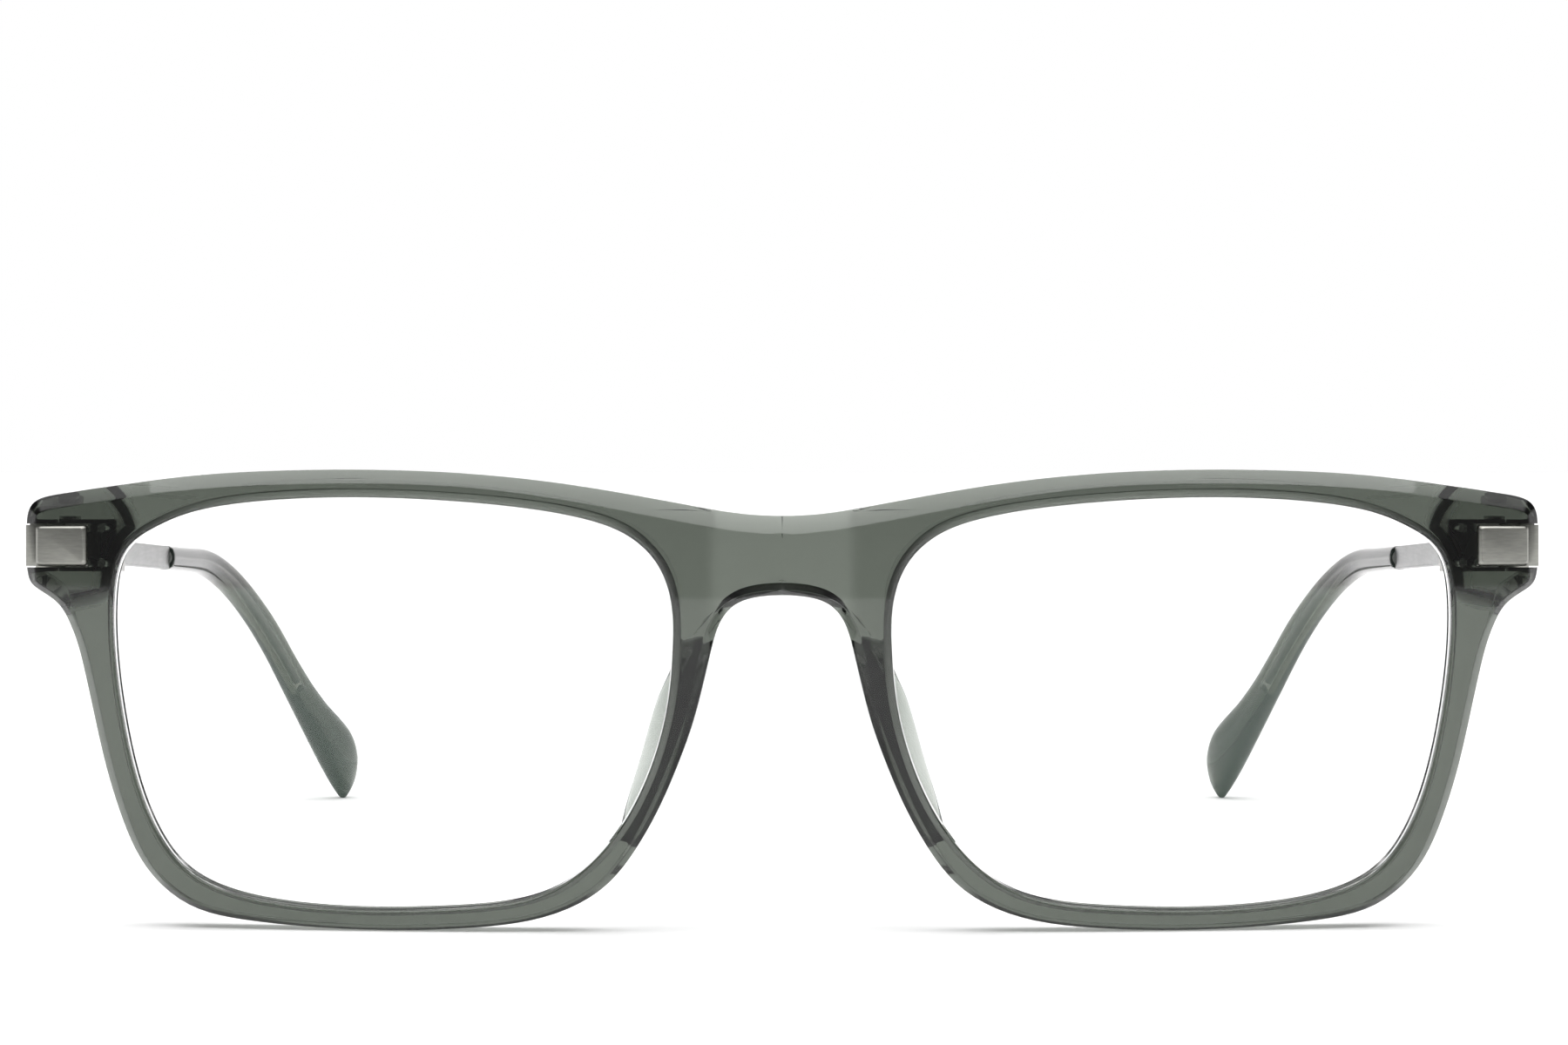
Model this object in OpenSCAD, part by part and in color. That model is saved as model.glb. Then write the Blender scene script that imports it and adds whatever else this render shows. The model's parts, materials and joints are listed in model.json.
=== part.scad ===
// Rectangular eyeglasses: acetate front, metal end blocks, slim metal temples and acetate tips.
// Millimetres. +Z is up, the wearer looks along -Y, and the glasses stand open on a surface at Z = 0.
// The origin lies on that surface, below the middle of the overall box.
// Names with right and left follow the wearer: right is -X, left is +X.

/* [Front] */
// Width of each lens opening
eye_w = 51.7; // [48:0.1:56]
// Height of each lens opening
eye_h = 38.2; // [35:0.1:42]
// Distance between the two lens openings, across the nose
bridge_w = 20; // [17:0.1:24]
// Height of the acetate bridge, from its arch to its top edge
bridge_h = 7.25; // [6:0.05:9]
// How far the top of the bridge lies below the top of the brow
bridge_dip = 4.1; // [3:0.1:5.5]
// Height of the rim above a lens opening
brow_rim = 2.45; // [2:0.05:3.2]
// Height of the rim below a lens opening
sill_rim = 2; // [1.7:0.05:2.8]
// Width of the rim beside a lens opening, towards the temple
side_rim = 2.65; // [2.2:0.05:3.4]
// Width of the rim beside a lens opening, towards the nose
nose_rim = 2.15; // [1.9:0.05:2.8]
// How far an end piece reaches outwards past the lens opening
end_reach = 8.4; // [8:0.05:9.5]
// Thickness of the acetate
front_t = 4; // [3.6:0.1:4.6]
// Height of the round boss on the back of an end piece, where the hinge is seated
boss_t = 1.1; // [0.6:0.1:1.5]
// Radius of the top of that boss
boss_r = 4.9; // [4.6:0.1:5.4]
// Width of the boss's sloping side
boss_slope_w = 1.2; // [0.8:0.1:1.6]
// How deep the back of the bridge is hollowed
bridge_hollow = 0.6; // [0.2:0.1:0.9]
// Width of the polished bevel round the outer edge
bevel_w = 1.0; // [0.6:0.05:1.3]
// Depth of that bevel
bevel_depth = 0.9; // [0.5:0.05:1.3]
// How far the top walls slope down as they go back
wall_draft = 0.3; // [0.1:0.05:0.4]
// Width of the small rounding on the back edges
back_round = 0.45; // [0.2:0.05:0.7]
// Width of the bevel on the back edge of the arch, over the nose
arch_back_bevel = 0.95; // [0.5:0.05:1.1]
// Width of the bevel on the back edges of an end piece
end_back_bevel = 1.25; // [0.5:0.05:1.4]
// Radius of the base curve that the front and the lenses share
base_radius = 133; // [115:1:180]
// How far the top of the front leans forwards as the glasses stand, in degrees
front_lean = 3.5; // [1:0.1:6]
// How far the lens walls turn towards the nose as they go back, in degrees
wall_turn = 5; // [2:0.5:7]

/* [Lenses] */
// Thickness of a lens
lens_t = 1.9; // [1.5:0.1:2.2]
// Depth of the middle of the lens groove behind the front edge
groove_at = 1.9; // [1.7:0.05:2.2]
// How deep the groove is cut into the rim
groove_depth = 0.6; // [0.4:0.05:0.8]
// Half of the groove's width at its mouth
groove_half = 0.9; // [0.7:0.05:1]
// Clearance round the lens
lens_gap = 0.12; // [0.08:0.01:0.2]

/* [Nose pads] */
// How far a nose pad stands behind the rim
pad_reach = 6.2; // [4:0.1:8]
// How far its nose side turns away from the nose as it goes back, in degrees
pad_splay = 26; // [15:1:32]
// How far its lens side turns away from the nose as it goes back, in degrees
pad_lens_splay = 21; // [12:1:26]
// Thickness of the bond between a nose pad and the rim
bond_t = 0.04; // [0.02:0.01:0.08]

/* [End blocks] */
// Height of a metal end block
block_h = 3.8; // [3:0.05:4.2]
// Width of its bright face
block_face_w = 4.9; // [4:0.05:5.4]
// Distance from the outer end of the front to the middle of the bright face
block_inset = 3.45; // [3.3:0.05:3.9]
// How far the middle of an end block lies below the top of the brow
block_drop = 7.4; // [7.15:0.05:7.85]
// Gap between the block and the acetate round it
block_gap = 0.13; // [0.08:0.01:0.2]
// How far the bright face stands forward of the acetate
block_proud = 0.1; // [0:0.05:0.3]
// Width of the bevel round the bright face
face_bevel = 0.3; // [0.1:0.05:0.5]
// How far the outer side of the block stands proud of the acetate
wrap_proud = 0.4; // [0.1:0.05:0.5]
// Thickness of the arm that wraps round the corner
arm_t = 1.5; // [1.2:0.05:1.8]
// Thickness of the flange that closes the notch from behind
flange_t = 0.5; // [0.4:0.05:0.7]
// How far that flange and the hinge plate reach over the edges of the notch
flange_over = 0.35; // [0.2:0.05:0.4]

/* [Hinges] */
// Distance from the outer end of the front to the hinge axis
hinge_inset = 4.05; // [3.95:0.05:4.4]
// Radius of the hinge knuckles
knuckle_r = 1.45; // [1.2:0.05:1.6]
// Height of the whole row of knuckles
hinge_h = 4.2; // [3.6:0.1:5]
// Height of the middle knuckle
mid_knuckle_h = 1.5; // [1.2:0.1:2]
// Thickness of a washer
washer_t = 0.15; // [0.1:0.01:0.25]
// Play between a knuckle and a washer
washer_play = 0.02; // [0.01:0.01:0.04]
// Radius of the hinge screw
screw_r = 0.6; // [0.5:0.05:0.75]
// Radial play of the hinge screw in the middle knuckle
screw_play = 0.03; // [0.01:0.01:0.06]
// Radius of the hinge screw's head
screw_head_r = 1.0; // [0.8:0.05:1.1]
// Height of the hinge screw's head
screw_head_h = 0.5; // [0.4:0.05:0.8]
// Thickness of the hinge plates
plate_t = 0.9; // [0.7:0.05:1.2]
// Clearance between a hinge plate and the acetate
plate_seat = 0.1; // [0.08:0.01:0.15]
// Length of the plate on the temple, behind the hinge axis
temple_plate_l = 8; // [6:0.5:11]
// Radius of the small screws in the acetate
leaf_screw_r = 0.4; // [0.35:0.05:0.45]
// Length of their shanks in the acetate
leaf_screw_l = 2.4; // [1.8:0.1:2.8]
// Distance between the two small screws of a hinge
leaf_screw_pitch = 3.2; // [2.8:0.1:3.8]
// Distance from the notch to the middle of the small screws
leaf_screw_inset = 0.75; // [0.75:0.05:0.9]

/* [Temples] */
// Length of the metal bar from the hinge axis to the acetate tip
bar_l = 70; // [60:1:80]
// Thickness of the metal bar
bar_t = 1.3; // [1.1:0.05:1.5]
// Height of the metal bar where the tip begins
bar_h = 2.4; // [2:0.05:2.9]
// How far a temple turns inwards along the bar, in degrees
bar_turn = 3.75; // [2:0.05:5]
// Length of the acetate tip
tip_l = 69; // [64:0.5:76]
// Width of the tip at its front end
tip_w = 2.3; // [2.2:0.05:2.8]
// Height of the tip at its front end
tip_h = 2.5; // [2.4:0.05:3]
// Length of the tip before it bends down behind the ear
ear_reach = 17.5; // [12:0.5:24]
// Length of the stretch over which it bends
ear_bend_l = 34; // [26:1:40]
// How far the tip bends down behind the ear, in degrees
ear_bend = 47; // [38:0.5:52]
// How far the tip curls inwards towards the head, in degrees
ear_curl = 24.5; // [14:0.5:28]
// Radius of the core wire where it enters the tip
wire_r = 0.8; // [0.6:0.05:0.85]
// Radius of the core wire at its end
wire_end_r = 0.5; // [0.4:0.05:0.55]
// Length of the core wire inside the tip
wire_l = 52; // [40:1:56]
// Clearance round the core wire
wire_gap = 0.08; // [0.05:0.01:0.12]

/* [Hidden] */
$fn = 48;

acetate = "#6c736c";
satin_metal = "#9a9a92";
dark_metal = "#77777a";

// Main places in the plane of the front, before it leans: x across, z up from its lowest edge
half_w = bridge_w / 2 + eye_w + end_reach;
eye_x = (bridge_w + eye_w) / 2;
eye_z = sill_rim + eye_h / 2;
brow_z = sill_rim + eye_h + brow_rim;
bridge_z = brow_z - bridge_dip;
arch_z = bridge_z - bridge_h;
block_x = half_w - block_inset;
block_z = brow_z - block_drop;
corner_x = bridge_w / 2 + eye_w;
face_turn_x = eye_x - base_radius * sin(wall_turn);

// Height of the front face of the base curve behind the bridge. Past the lens it runs on straight.
function sag_across(x) =
    let (u = max(0, abs(x) - face_turn_x), edge = corner_x - face_turn_x)
    u < edge ? u * u / (2 * base_radius)
             : edge * edge / (2 * base_radius) + (u - edge) * edge / base_radius;
function sag(x, z) = sag_across(x) + pow(z - eye_z, 2) / (2 * base_radius);
end_turn = atan((corner_x - face_turn_x) / base_radius);
end_tilt = atan((block_z - eye_z) / base_radius);

function ramp(x, low, high) =
    let (f = min(1, max(0, (x - low) / (high - low)))) f * f * (3 - 2 * f);
function mix(a, b, f) = a + (b - a) * f;

// A point of the front, at a depth behind its front face
function at_depth(p, depth) =
    [p[0] - tan(wall_turn) * depth * ramp(p[0], 0, bridge_w / 2), sag(p[0], p[1]) + depth, p[1]];

// Smooth curve that runs close through its points
function push(a, b, c) = b - (a - 2 * b + c) / 6;
function cubic(a, b, c, d, f) = (pow(1 - f, 3) * a + (3 * f * f * f - 6 * f * f + 4) * b
    + (3 * f * (1 + f - f * f) + 1) * c + f * f * f * d) / 6;

// Shape of the lens opening round its middle, drawn at the size below, with the temple towards +x
shape_size = [51.8, 38.2];
LENS_SHAPE = [[-17.4, 17.3], [-21.6, 15.8], [-24.5, 13.1], [-25.8, 9.3], [-25.8, 4.8], [-25.4, 0.3],
    [-24.2, -4.5], [-22.3, -9], [-19.6, -13.1], [-15.8, -16.5], [-10.9, -18.3], [-4.2, -18.9],
    [3, -19.1], [10, -18.7], [15.6, -17.6], [19.7, -15.4], [22.3, -11.6], [24, -6.9],
    [25.1, -1.5], [25.8, 4.3], [25.8, 10], [24.7, 13.9], [21.8, 16], [17.8, 17.7],
    [11.3, 18.7], [3.5, 19.1], [-4.3, 18.9], [-11.5, 18.3]];
shape_scale = [eye_w / shape_size[0], eye_h / shape_size[1]];
turns = len(LENS_SHAPE);
function lens_knot(i) =
    let (p = LENS_SHAPE[(i + turns) % turns])
    [eye_x + p[0] * shape_scale[0], eye_z + p[1] * shape_scale[1]];
LENS_CURVE = [for (i = [0 : turns - 1]) push(lens_knot(i - 1), lens_knot(i), lens_knot(i + 1))];
function opening(t) =
    let (i = floor(t), n = i + turns)
    cubic(LENS_CURVE[(n - 1) % turns], LENS_CURVE[n % turns], LENS_CURVE[(n + 1) % turns],
        LENS_CURVE[(n + 2) % turns], t - i);
function unit(v) = v / norm(v);
// Direction out of the opening, into the acetate
function outwards(t) = let (d = unit(opening(t + 0.05) - opening(t - 0.05))) [d[1], -d[0]];

// Outer edge of one half, from the arch of the bridge round to the top of the bridge.
// Each point is x, z and the place on the opening that the rim there is joined to.
function beside(t, w) = let (p = opening(t) + w * outwards(t)) [p[0], p[1], t];
OUTER_EDGE = concat(
    [[0, arch_z, 3.1], [2.2, arch_z - 0.15, 3.3], [4.4, arch_z - 0.85, 3.6], [5.85, arch_z - 2.7, 4],
     [bridge_w / 2 - 3.3, arch_z - 5.6, 4.5], beside(5.1, nose_rim + 0.5), beside(5.9, nose_rim + 0.1),
     beside(6.8, nose_rim), beside(7.7, nose_rim + 0.1), beside(8.6, nose_rim + 0.4),
     beside(9.6, sill_rim + 0.2)],
    [for (t = [10.6 : 1 : 12.7]) beside(t, sill_rim)],
    [beside(13.6, sill_rim + 0.3), beside(14.5, side_rim + 0.3), beside(15.4, side_rim + 0.3),
     beside(16.3, side_rim), beside(17.2, side_rim), beside(18.1, side_rim + 0.15)],
    [[half_w - 5.15, block_z - 10.1, 19], [half_w - 4.25, block_z - 7.6, 19.5],
     [half_w - 3.2, block_z - 5.6, 19.9], [half_w - 1.45, block_z - 4.4, 20.2],
     [half_w - 0.3, block_z - 3.5, 20.5], [half_w, block_z - 1.7, 20.8], [half_w, block_z + 1, 21.2],
     [half_w - 0.15, block_z + 3, 21.5], [half_w - 1.3, block_z + 4.2, 21.9],
     [half_w - 4, block_z + 4.75, 22.4], [half_w - 6.4, block_z + 5.2, 22.8],
     [half_w - 9, brow_z - 1.8, 23.2]],
    [for (p = [[18, 0.7, 24], [9.5, 0.15, 24.7], [1.5, 0, 25.4], [-6.5, 0.25, 26.2], [-14, 0.95, 27]])
        [eye_x + p[0] * shape_scale[0], brow_z - p[1], p[2]]],
    [[bridge_w / 2 + 4.9, bridge_z + 2.1, 27.8], [bridge_w / 2 - 2, bridge_z + 0.85, 28.4],
     [3.8, bridge_z + 0.2, 28.8], [0, bridge_z, 29.1]]);
last_knot = len(OUTER_EDGE) - 1;
function flip(p, end) = [-p[0], p[1], 2 * end[2] - p[2]];
function edge_knot(i) = i < 0 ? flip(OUTER_EDGE[-i], OUTER_EDGE[0])
    : i > last_knot ? flip(OUTER_EDGE[2 * last_knot - i], OUTER_EDGE[last_knot]) : OUTER_EDGE[i];
function edge_push(i) = push(edge_knot(i - 1), edge_knot(i), edge_knot(i + 1));
EDGE_CURVE = [for (i = [-1 : last_knot + 1]) edge_push(i)];
function edge_at(s) =
    let (i = min(last_knot - 1, max(0, floor(s))))
    cubic(EDGE_CURVE[i], EDGE_CURVE[i + 1], EDGE_CURVE[i + 2], EDGE_CURVE[i + 3], s - i);
function edge_normal(s) =
    let (a = edge_at(s - 0.02), b = edge_at(s + 0.02), d = unit([b[0] - a[0], b[1] - a[1]]))
    s == 0 ? [0, -1] : s == last_knot ? [0, 1] : [d[1], -d[0]];

// Stations round one rim: the outer edge first, then the middle plane of the bridge from top to arch
steps = 2;
cut_steps = 4;
edge_count = last_knot * steps + 1;
station_count = edge_count + cut_steps - 1;
TOP = edge_at(last_knot);
ARCH = edge_at(0);
// The bevel is widest above the nose, wide along the brow and narrow where it faces down
bevel_more_above_nose = 0.6;
bevel_more_above_brow = 0.2;
bevel_less_below = 0.4;
brow_from = [10, 32];
function bevel_more(x, n) = n[1] < 0 ? bevel_less_below
    : mix(bevel_more_above_nose, bevel_more_above_brow, ramp(x, brow_from[0], brow_from[1]));
function station(j) =
    j < edge_count
    ? let (s = j / steps, e = edge_at(s), p = [j == 0 || j == edge_count - 1 ? 0 : e[0], e[1]],
           n = edge_normal(s), w = bevel_w + bevel_more(e[0], n) * n[1])
      [p, n, w, e[2]]
    : let (f = (j - edge_count + 1) / cut_steps)
      [[0, mix(TOP[1] - bevel_w - bevel_more_above_nose, ARCH[1] + bevel_w - bevel_less_below, f)],
       [0, 0], 0, mix(TOP[2] - turns, ARCH[2], f)];
STATIONS = [for (j = [0 : station_count - 1]) station(j)];

// Back of the acetate: hollowed behind the bridge, and raised to a round boss behind each end block
hollow_ends = [6.2, 7.4];
hollow_lows = [arch_z - 3, arch_z - 0.5];
function hollow_share(p) = (1 - ramp(p[0], hollow_ends[0], hollow_ends[1]))
    * ramp(p[1], hollow_lows[0], hollow_lows[1]);
boss_at = [block_x - (front_t + boss_t) * (tan(end_turn) - tan(wall_turn)), block_z];
function boss_share(p) = min(1, max(0, (boss_r + boss_slope_w - norm(p - boss_at)) / boss_slope_w));
function back_depth(p) = front_t - bridge_hollow * hollow_share(p) + boss_t * boss_share(p);
// Where a line from p along d leaves the circle of radius r round the middle of the boss
function way_out(p, d, r) =
    let (c = p - boss_at, a = d * d, b = c * d, e = c * c - r * r)
    e > 0 ? 0 : (sqrt(b * b - a * e) - b) / a;
slope_stops = [0.02, 0.98];
// Shares of the way from the outer to the inner back edge at which the back slopes
function slope_places(outer, inner) =
    let (d = inner - outer)
    boss_share(outer) > 0
    ? let (foot = min(slope_stops[1], way_out(outer, d, boss_r + boss_slope_w)),
           top = min(way_out(outer, d, boss_r), foot - boss_slope_w / norm(d)))
      [max(slope_stops[0], top), foot]
    : outer[0] < hollow_ends[0] ? [for (x = hollow_ends) (x - outer[0]) / d[0]] : [1 / 3, 2 / 3];
function back_slope(outer, inner) =
    let (p = [for (f = slope_places(outer, inner)) mix(outer, inner, f)], raised = boss_share(outer) > 0)
    [at_depth(p[0], raised ? back_depth(outer) : back_depth(p[0])),
     at_depth(p[1], raised ? front_t : back_depth(p[1]))];

// Section through the acetate: front face, bevel, outer wall, back bevel, back face with its slope,
// inner wall and groove
edge_break = 0.2;
arch_bevel_ends = [6.4, 8];
end_bevel_ends = [half_w - 4, half_w - 2.5];
function back_bevel(x, n) = n[1] < 0 && x < arch_bevel_ends[1]
    ? mix(arch_back_bevel, back_round, ramp(x, arch_bevel_ends[0], arch_bevel_ends[1]))
    : mix(back_round, end_back_bevel, ramp(x, end_bevel_ends[0], end_bevel_ends[1]));
function section(st) =
    let (outer = st[0], n = st[1], w = st[2], inner = opening(st[3]), m = outwards(st[3]),
         b = back_bevel(outer[0], n), wall_end = outer - wall_draft * max(0, n[1]) * n,
         back_outer = wall_end - b * n, back_inner = inner + back_round * m, deep = back_depth(back_outer))
    concat([at_depth(inner + edge_break * m, 0), at_depth(outer - w * n, 0), at_depth(outer, bevel_depth),
            at_depth(wall_end, deep - b), at_depth(back_outer, deep)],
        back_slope(back_outer, back_inner),
        [at_depth(back_inner, front_t), at_depth(inner, front_t - back_round),
         at_depth(inner, groove_at + groove_half), at_depth(inner + groove_depth * m, groove_at),
         at_depth(inner, groove_at - groove_half), at_depth(inner, edge_break)]);
SECTIONS = [for (st = STATIONS) section(st)];
ring = len(SECTIONS[0]);
mirror_x = [-1, 1, 1];
function flipped(p) = [for (i = [0 : 2]) p[i] * mirror_x[i]];
function on_middle(j, k) = (j == 0 || j >= edge_count - 1) && k >= 1 && k <= 4;
function point_id(side, j, k) =
    let (a = j % station_count, b = k % ring, first = a * ring + b)
    side == 0 || on_middle(a, b) ? first : station_count * ring + first;
function quad(a, b, c, d) = [[a, b, c], [a, c, d]];
function front_faces(side) = [for (j = [0 : station_count - 1], k = [0 : ring - 1])
    if (!(j >= edge_count - 1 && k >= 1 && k <= 3))
        let (a = point_id(side, j, k), b = point_id(side, j + 1, k), c = point_id(side, j + 1, k + 1),
             d = point_id(side, j, k + 1))
        each side == 0 ? quad(a, b, c, d) : quad(a, d, c, b)];

// How the front stands: it leans, and its lowest point is on the surface
function leaned(p) = [p[0], p[1] * cos(front_lean) - p[2] * sin(front_lean),
    p[1] * sin(front_lean) + p[2] * cos(front_lean)];
front_low = min([for (s = SECTIONS, p = s) leaned(p)[2]]);
front_fore = min([for (s = SECTIONS, p = s) leaned(p)[1]]);

// Thickness of the acetate square to the end piece
end_t = (front_t + boss_t) * (1 + tan(wall_turn) * tan(end_turn)) * cos(end_turn) * cos(end_tilt);

// Hinge axis: behind the plate that lies on the back of the end piece
hinge_x = half_w - hinge_inset;
knuckle_room = 0.3;
plate_y = end_t + plate_seat;
plate_depth = (hinge_x - block_x) * tan(end_turn) + (plate_y + plate_t) / cos(end_turn);
hinge_point = leaned([hinge_x, sag(block_x, block_z) + plate_depth * cos(end_tilt),
    block_z - plate_depth * sin(end_tilt)]) + [0, knuckle_r + knuckle_room, -front_low];
butt_y = -0.4;
butt_gap = 0.08;
bar_side_inset = 0.25;
bar_outer_x = hinge_inset - bar_side_inset;

// Route of a temple in its own frame: from the hinge axis back along +y, x away from the head
route_step = 2;
plate_run = temple_plate_l + 2;
bar_turn_l = 12;
bend_start = bar_l + ear_reach;
curl_start = bend_start - 2;
function turn_at(s) = bar_turn * ramp(s, plate_run, plate_run + bar_turn_l)
    + ear_curl * ramp(s, curl_start, curl_start + ear_bend_l);
function drop_at(s) = ear_bend * ramp(s, bend_start, bend_start + ear_bend_l);
function heading(s) = [-sin(turn_at(s)) * cos(drop_at(s)), cos(turn_at(s)) * cos(drop_at(s)),
    -sin(drop_at(s))];
temple_l = bar_l + tip_l;
route_count = ceil(temple_l / route_step);
route_unit = temple_l / route_count;
ROUTE = [for (i = 0, p = [bar_outer_x - bar_t / 2, 0, 0]; i <= route_count;
    p = p + route_unit * heading((i + 0.5) * route_unit), i = i + 1) p];
function route_at(s) =
    let (i = min(route_count - 1, max(0, floor(s / route_unit))))
    ROUTE[i] + (s - i * route_unit) * heading(mix(i * route_unit, s, 0.5));
// Ring of points round the route: half sizes a across and b up, rounded off by a power, and lifted
function ring_at(s, a, b, sides, power, lift = 0) =
    let (c = route_at(s), d = heading(s), across = unit([d[1], -d[0], 0]), up = cross(across, d))
    [for (i = [0 : sides - 1]) let (q = (i + 0.5) * 360 / sides, x = cos(q), z = sin(q))
        c + a * sign(x) * pow(abs(x), power) * across + (b * sign(z) * pow(abs(z), power) + lift) * up];

// Width and height of the tip along its length, as shares of its front end, from there to its point.
// They are drawn for a tip of the length below.
form_l = 69;
TIP_FORM = [[0, 1, 1], [10, 1.02, 1], [19, 1.04, 1.06], [30, 1.05, 1.2], [42, 1.06, 1.28],
    [52, 1.14, 1.4], [57, 1.3, 1.66], [61, 1.48, 2.08], [63, 1.54, 2.24], [65, 1.48, 2.2],
    [66.5, 1.32, 1.96], [67.8, 1, 1.5], [68.6, 0.64, 1], [form_l, 0.24, 0.38]];
tip_scale = tip_l / form_l;
function form_at(s, k) = lookup(s / tip_scale, [for (f = TIP_FORM) [f[0], f[k]]]);
tip_sides = 16;
wire_sides = 8;
TIP_PLACES = [for (s = [0, 1, 5, 10, 15, 19, 22, 25, 28, 31, 34, 37, 40, 43, 46, 49, 52, 54.5, 57,
    59, 61, 63, 64.5, 66, 67.2, 68.2, form_l]) s * tip_scale];
// The lower side of the tip runs on straight, and its swelling grows from there. Its point is round.
swell_from = 42;
swell_to = 56;
swell_form = 1.42;
point_form = 0.6;
function tip_lift(s) = ramp(s / tip_scale, swell_from, swell_to)
    * (max(point_form, form_at(s, 2)) - swell_form) * tip_h / 2;
tip_power = 0.8;
function tip_ring(s) = ring_at(bar_l + s, form_at(s, 1) * tip_w / 2, form_at(s, 2) * tip_h / 2,
    tip_sides, tip_power, tip_lift(s));
TIP_RINGS = [for (s = TIP_PLACES) tip_ring(s)];

// The temple hangs down until its tip touches the surface that the front stands on
function touch_angle(p) =
    let (r = norm([p[1], p[2]])) asin(hinge_point[2] / r) + atan2(p[2], p[1]);
temple_slope = min([for (r = TIP_RINGS, p = r) if (p[1] > bar_l) touch_angle(p)]);
function hung(p) = [p[0], p[1] * cos(temple_slope) + p[2] * sin(temple_slope),
    p[2] * cos(temple_slope) - p[1] * sin(temple_slope)] + hinge_point;
temple_aft = max([for (r = TIP_RINGS, p = r) hung(p)[1]]);
origin = [0, -(front_fore + temple_aft) / 2, 0];

module both_sides(side) {
    if (side == "left") children();
    else mirror([1, 0, 0]) children();
}
module in_front() {
    translate(origin - [0, 0, front_low]) rotate([front_lean, 0, 0]) children();
}
// Frame of the end piece: origin on the front face at the block, y going back into the acetate
module in_end_piece() {
    in_front() translate([block_x, sag(block_x, block_z), block_z]) rotate([-end_tilt, 0, 0])
        rotate([0, 0, end_turn]) children();
}
module at_hinge() {
    translate(origin + hinge_point) children();
}
module in_temple() {
    at_hinge() rotate([-temple_slope, 0, 0]) children();
}

// Shell of rings, closed at both ends
module loft(rings) {
    n = len(rings[0]);
    m = len(rings);
    polyhedron(points = [for (r = rings, p = r) p],
        faces = concat([[for (i = [n - 1 : -1 : 0]) i]],
            [for (j = [0 : m - 2], i = [0 : n - 1]) each quad(j * n + i, j * n + (i + 1) % n,
                (j + 1) * n + (i + 1) % n, (j + 1) * n + i)],
            [[for (i = [0 : n - 1]) (m - 1) * n + i]]));
}

notch_h = block_h + 2 * block_gap;
face_w = block_face_w / cos(end_turn);
notch_inner = -face_w / 2 - block_gap;
screw_fit = 0.02;
hole_spare = 0.2;
screw_places = [for (side = [-1, 1]) [notch_inner - leaf_screw_inset, side * leaf_screw_pitch / 2]];

module acetate_blank() {
    polyhedron(points = concat([for (s = SECTIONS, p = s) p], [for (s = SECTIONS, p = s) flipped(p)]),
        faces = concat(front_faces(0), front_faces(1)));
}
module end_piece_cuts() {
    in_end_piece() {
        translate([notch_inner, -front_t, -notch_h / 2]) cube([2 * end_reach, 4 * front_t, notch_h]);
        for (p = screw_places)
            translate([p[0], end_t - leaf_screw_l - hole_spare, p[1]]) rotate([-90, 0, 0])
                cylinder(r = leaf_screw_r + screw_fit, h = leaf_screw_l + front_t);
    }
}
module front_frame() {
    color(acetate) difference() {
        in_front() acetate_blank();
        for (side = ["left", "right"]) both_sides(side) end_piece_cuts();
    }
}

// Lens: bevelled edge in the groove, both faces on the base curve
lens_face = groove_at - lens_t / 2;
lens_bevel = groove_half - lens_gap - 0.1;
RING_SHARES = [0.4, 0.75];
function lens_ring(share, spread, depth) = [for (st = STATIONS)
    let (edge = opening(st[3]) + spread * outwards(st[3]))
    at_depth([mix(eye_x, edge[0], share), mix(eye_z, edge[1], share)], depth)];
LENS_RINGS = concat([for (f = RING_SHARES) lens_ring(f, 0, lens_face)],
    [lens_ring(1, -lens_gap, lens_face), lens_ring(1, -lens_gap, groove_at - lens_bevel),
     lens_ring(1, groove_depth - lens_gap, groove_at), lens_ring(1, -lens_gap, groove_at + lens_bevel),
     lens_ring(1, -lens_gap, lens_face + lens_t)],
    [for (i = [len(RING_SHARES) - 1 : -1 : 0]) lens_ring(RING_SHARES[i], 0, lens_face + lens_t)]);
module lens(side) {
    n = station_count;
    m = len(LENS_RINGS);
    color("#dfe8e6", 0.35) both_sides(side) in_front()
        polyhedron(points = concat([for (r = LENS_RINGS, p = r) p],
                [at_depth([eye_x, eye_z], lens_face), at_depth([eye_x, eye_z], lens_face + lens_t)]),
            faces = concat([for (i = [0 : n - 1]) [m * n, (i + 1) % n, i]],
                [for (j = [0 : m - 2], i = [0 : n - 1]) each quad(j * n + i, j * n + (i + 1) % n,
                    (j + 1) * n + (i + 1) % n, (j + 1) * n + i)],
                [for (i = [0 : n - 1]) [m * n + 1, (m - 1) * n + i, (m - 1) * n + (i + 1) % n]]));
}

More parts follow.
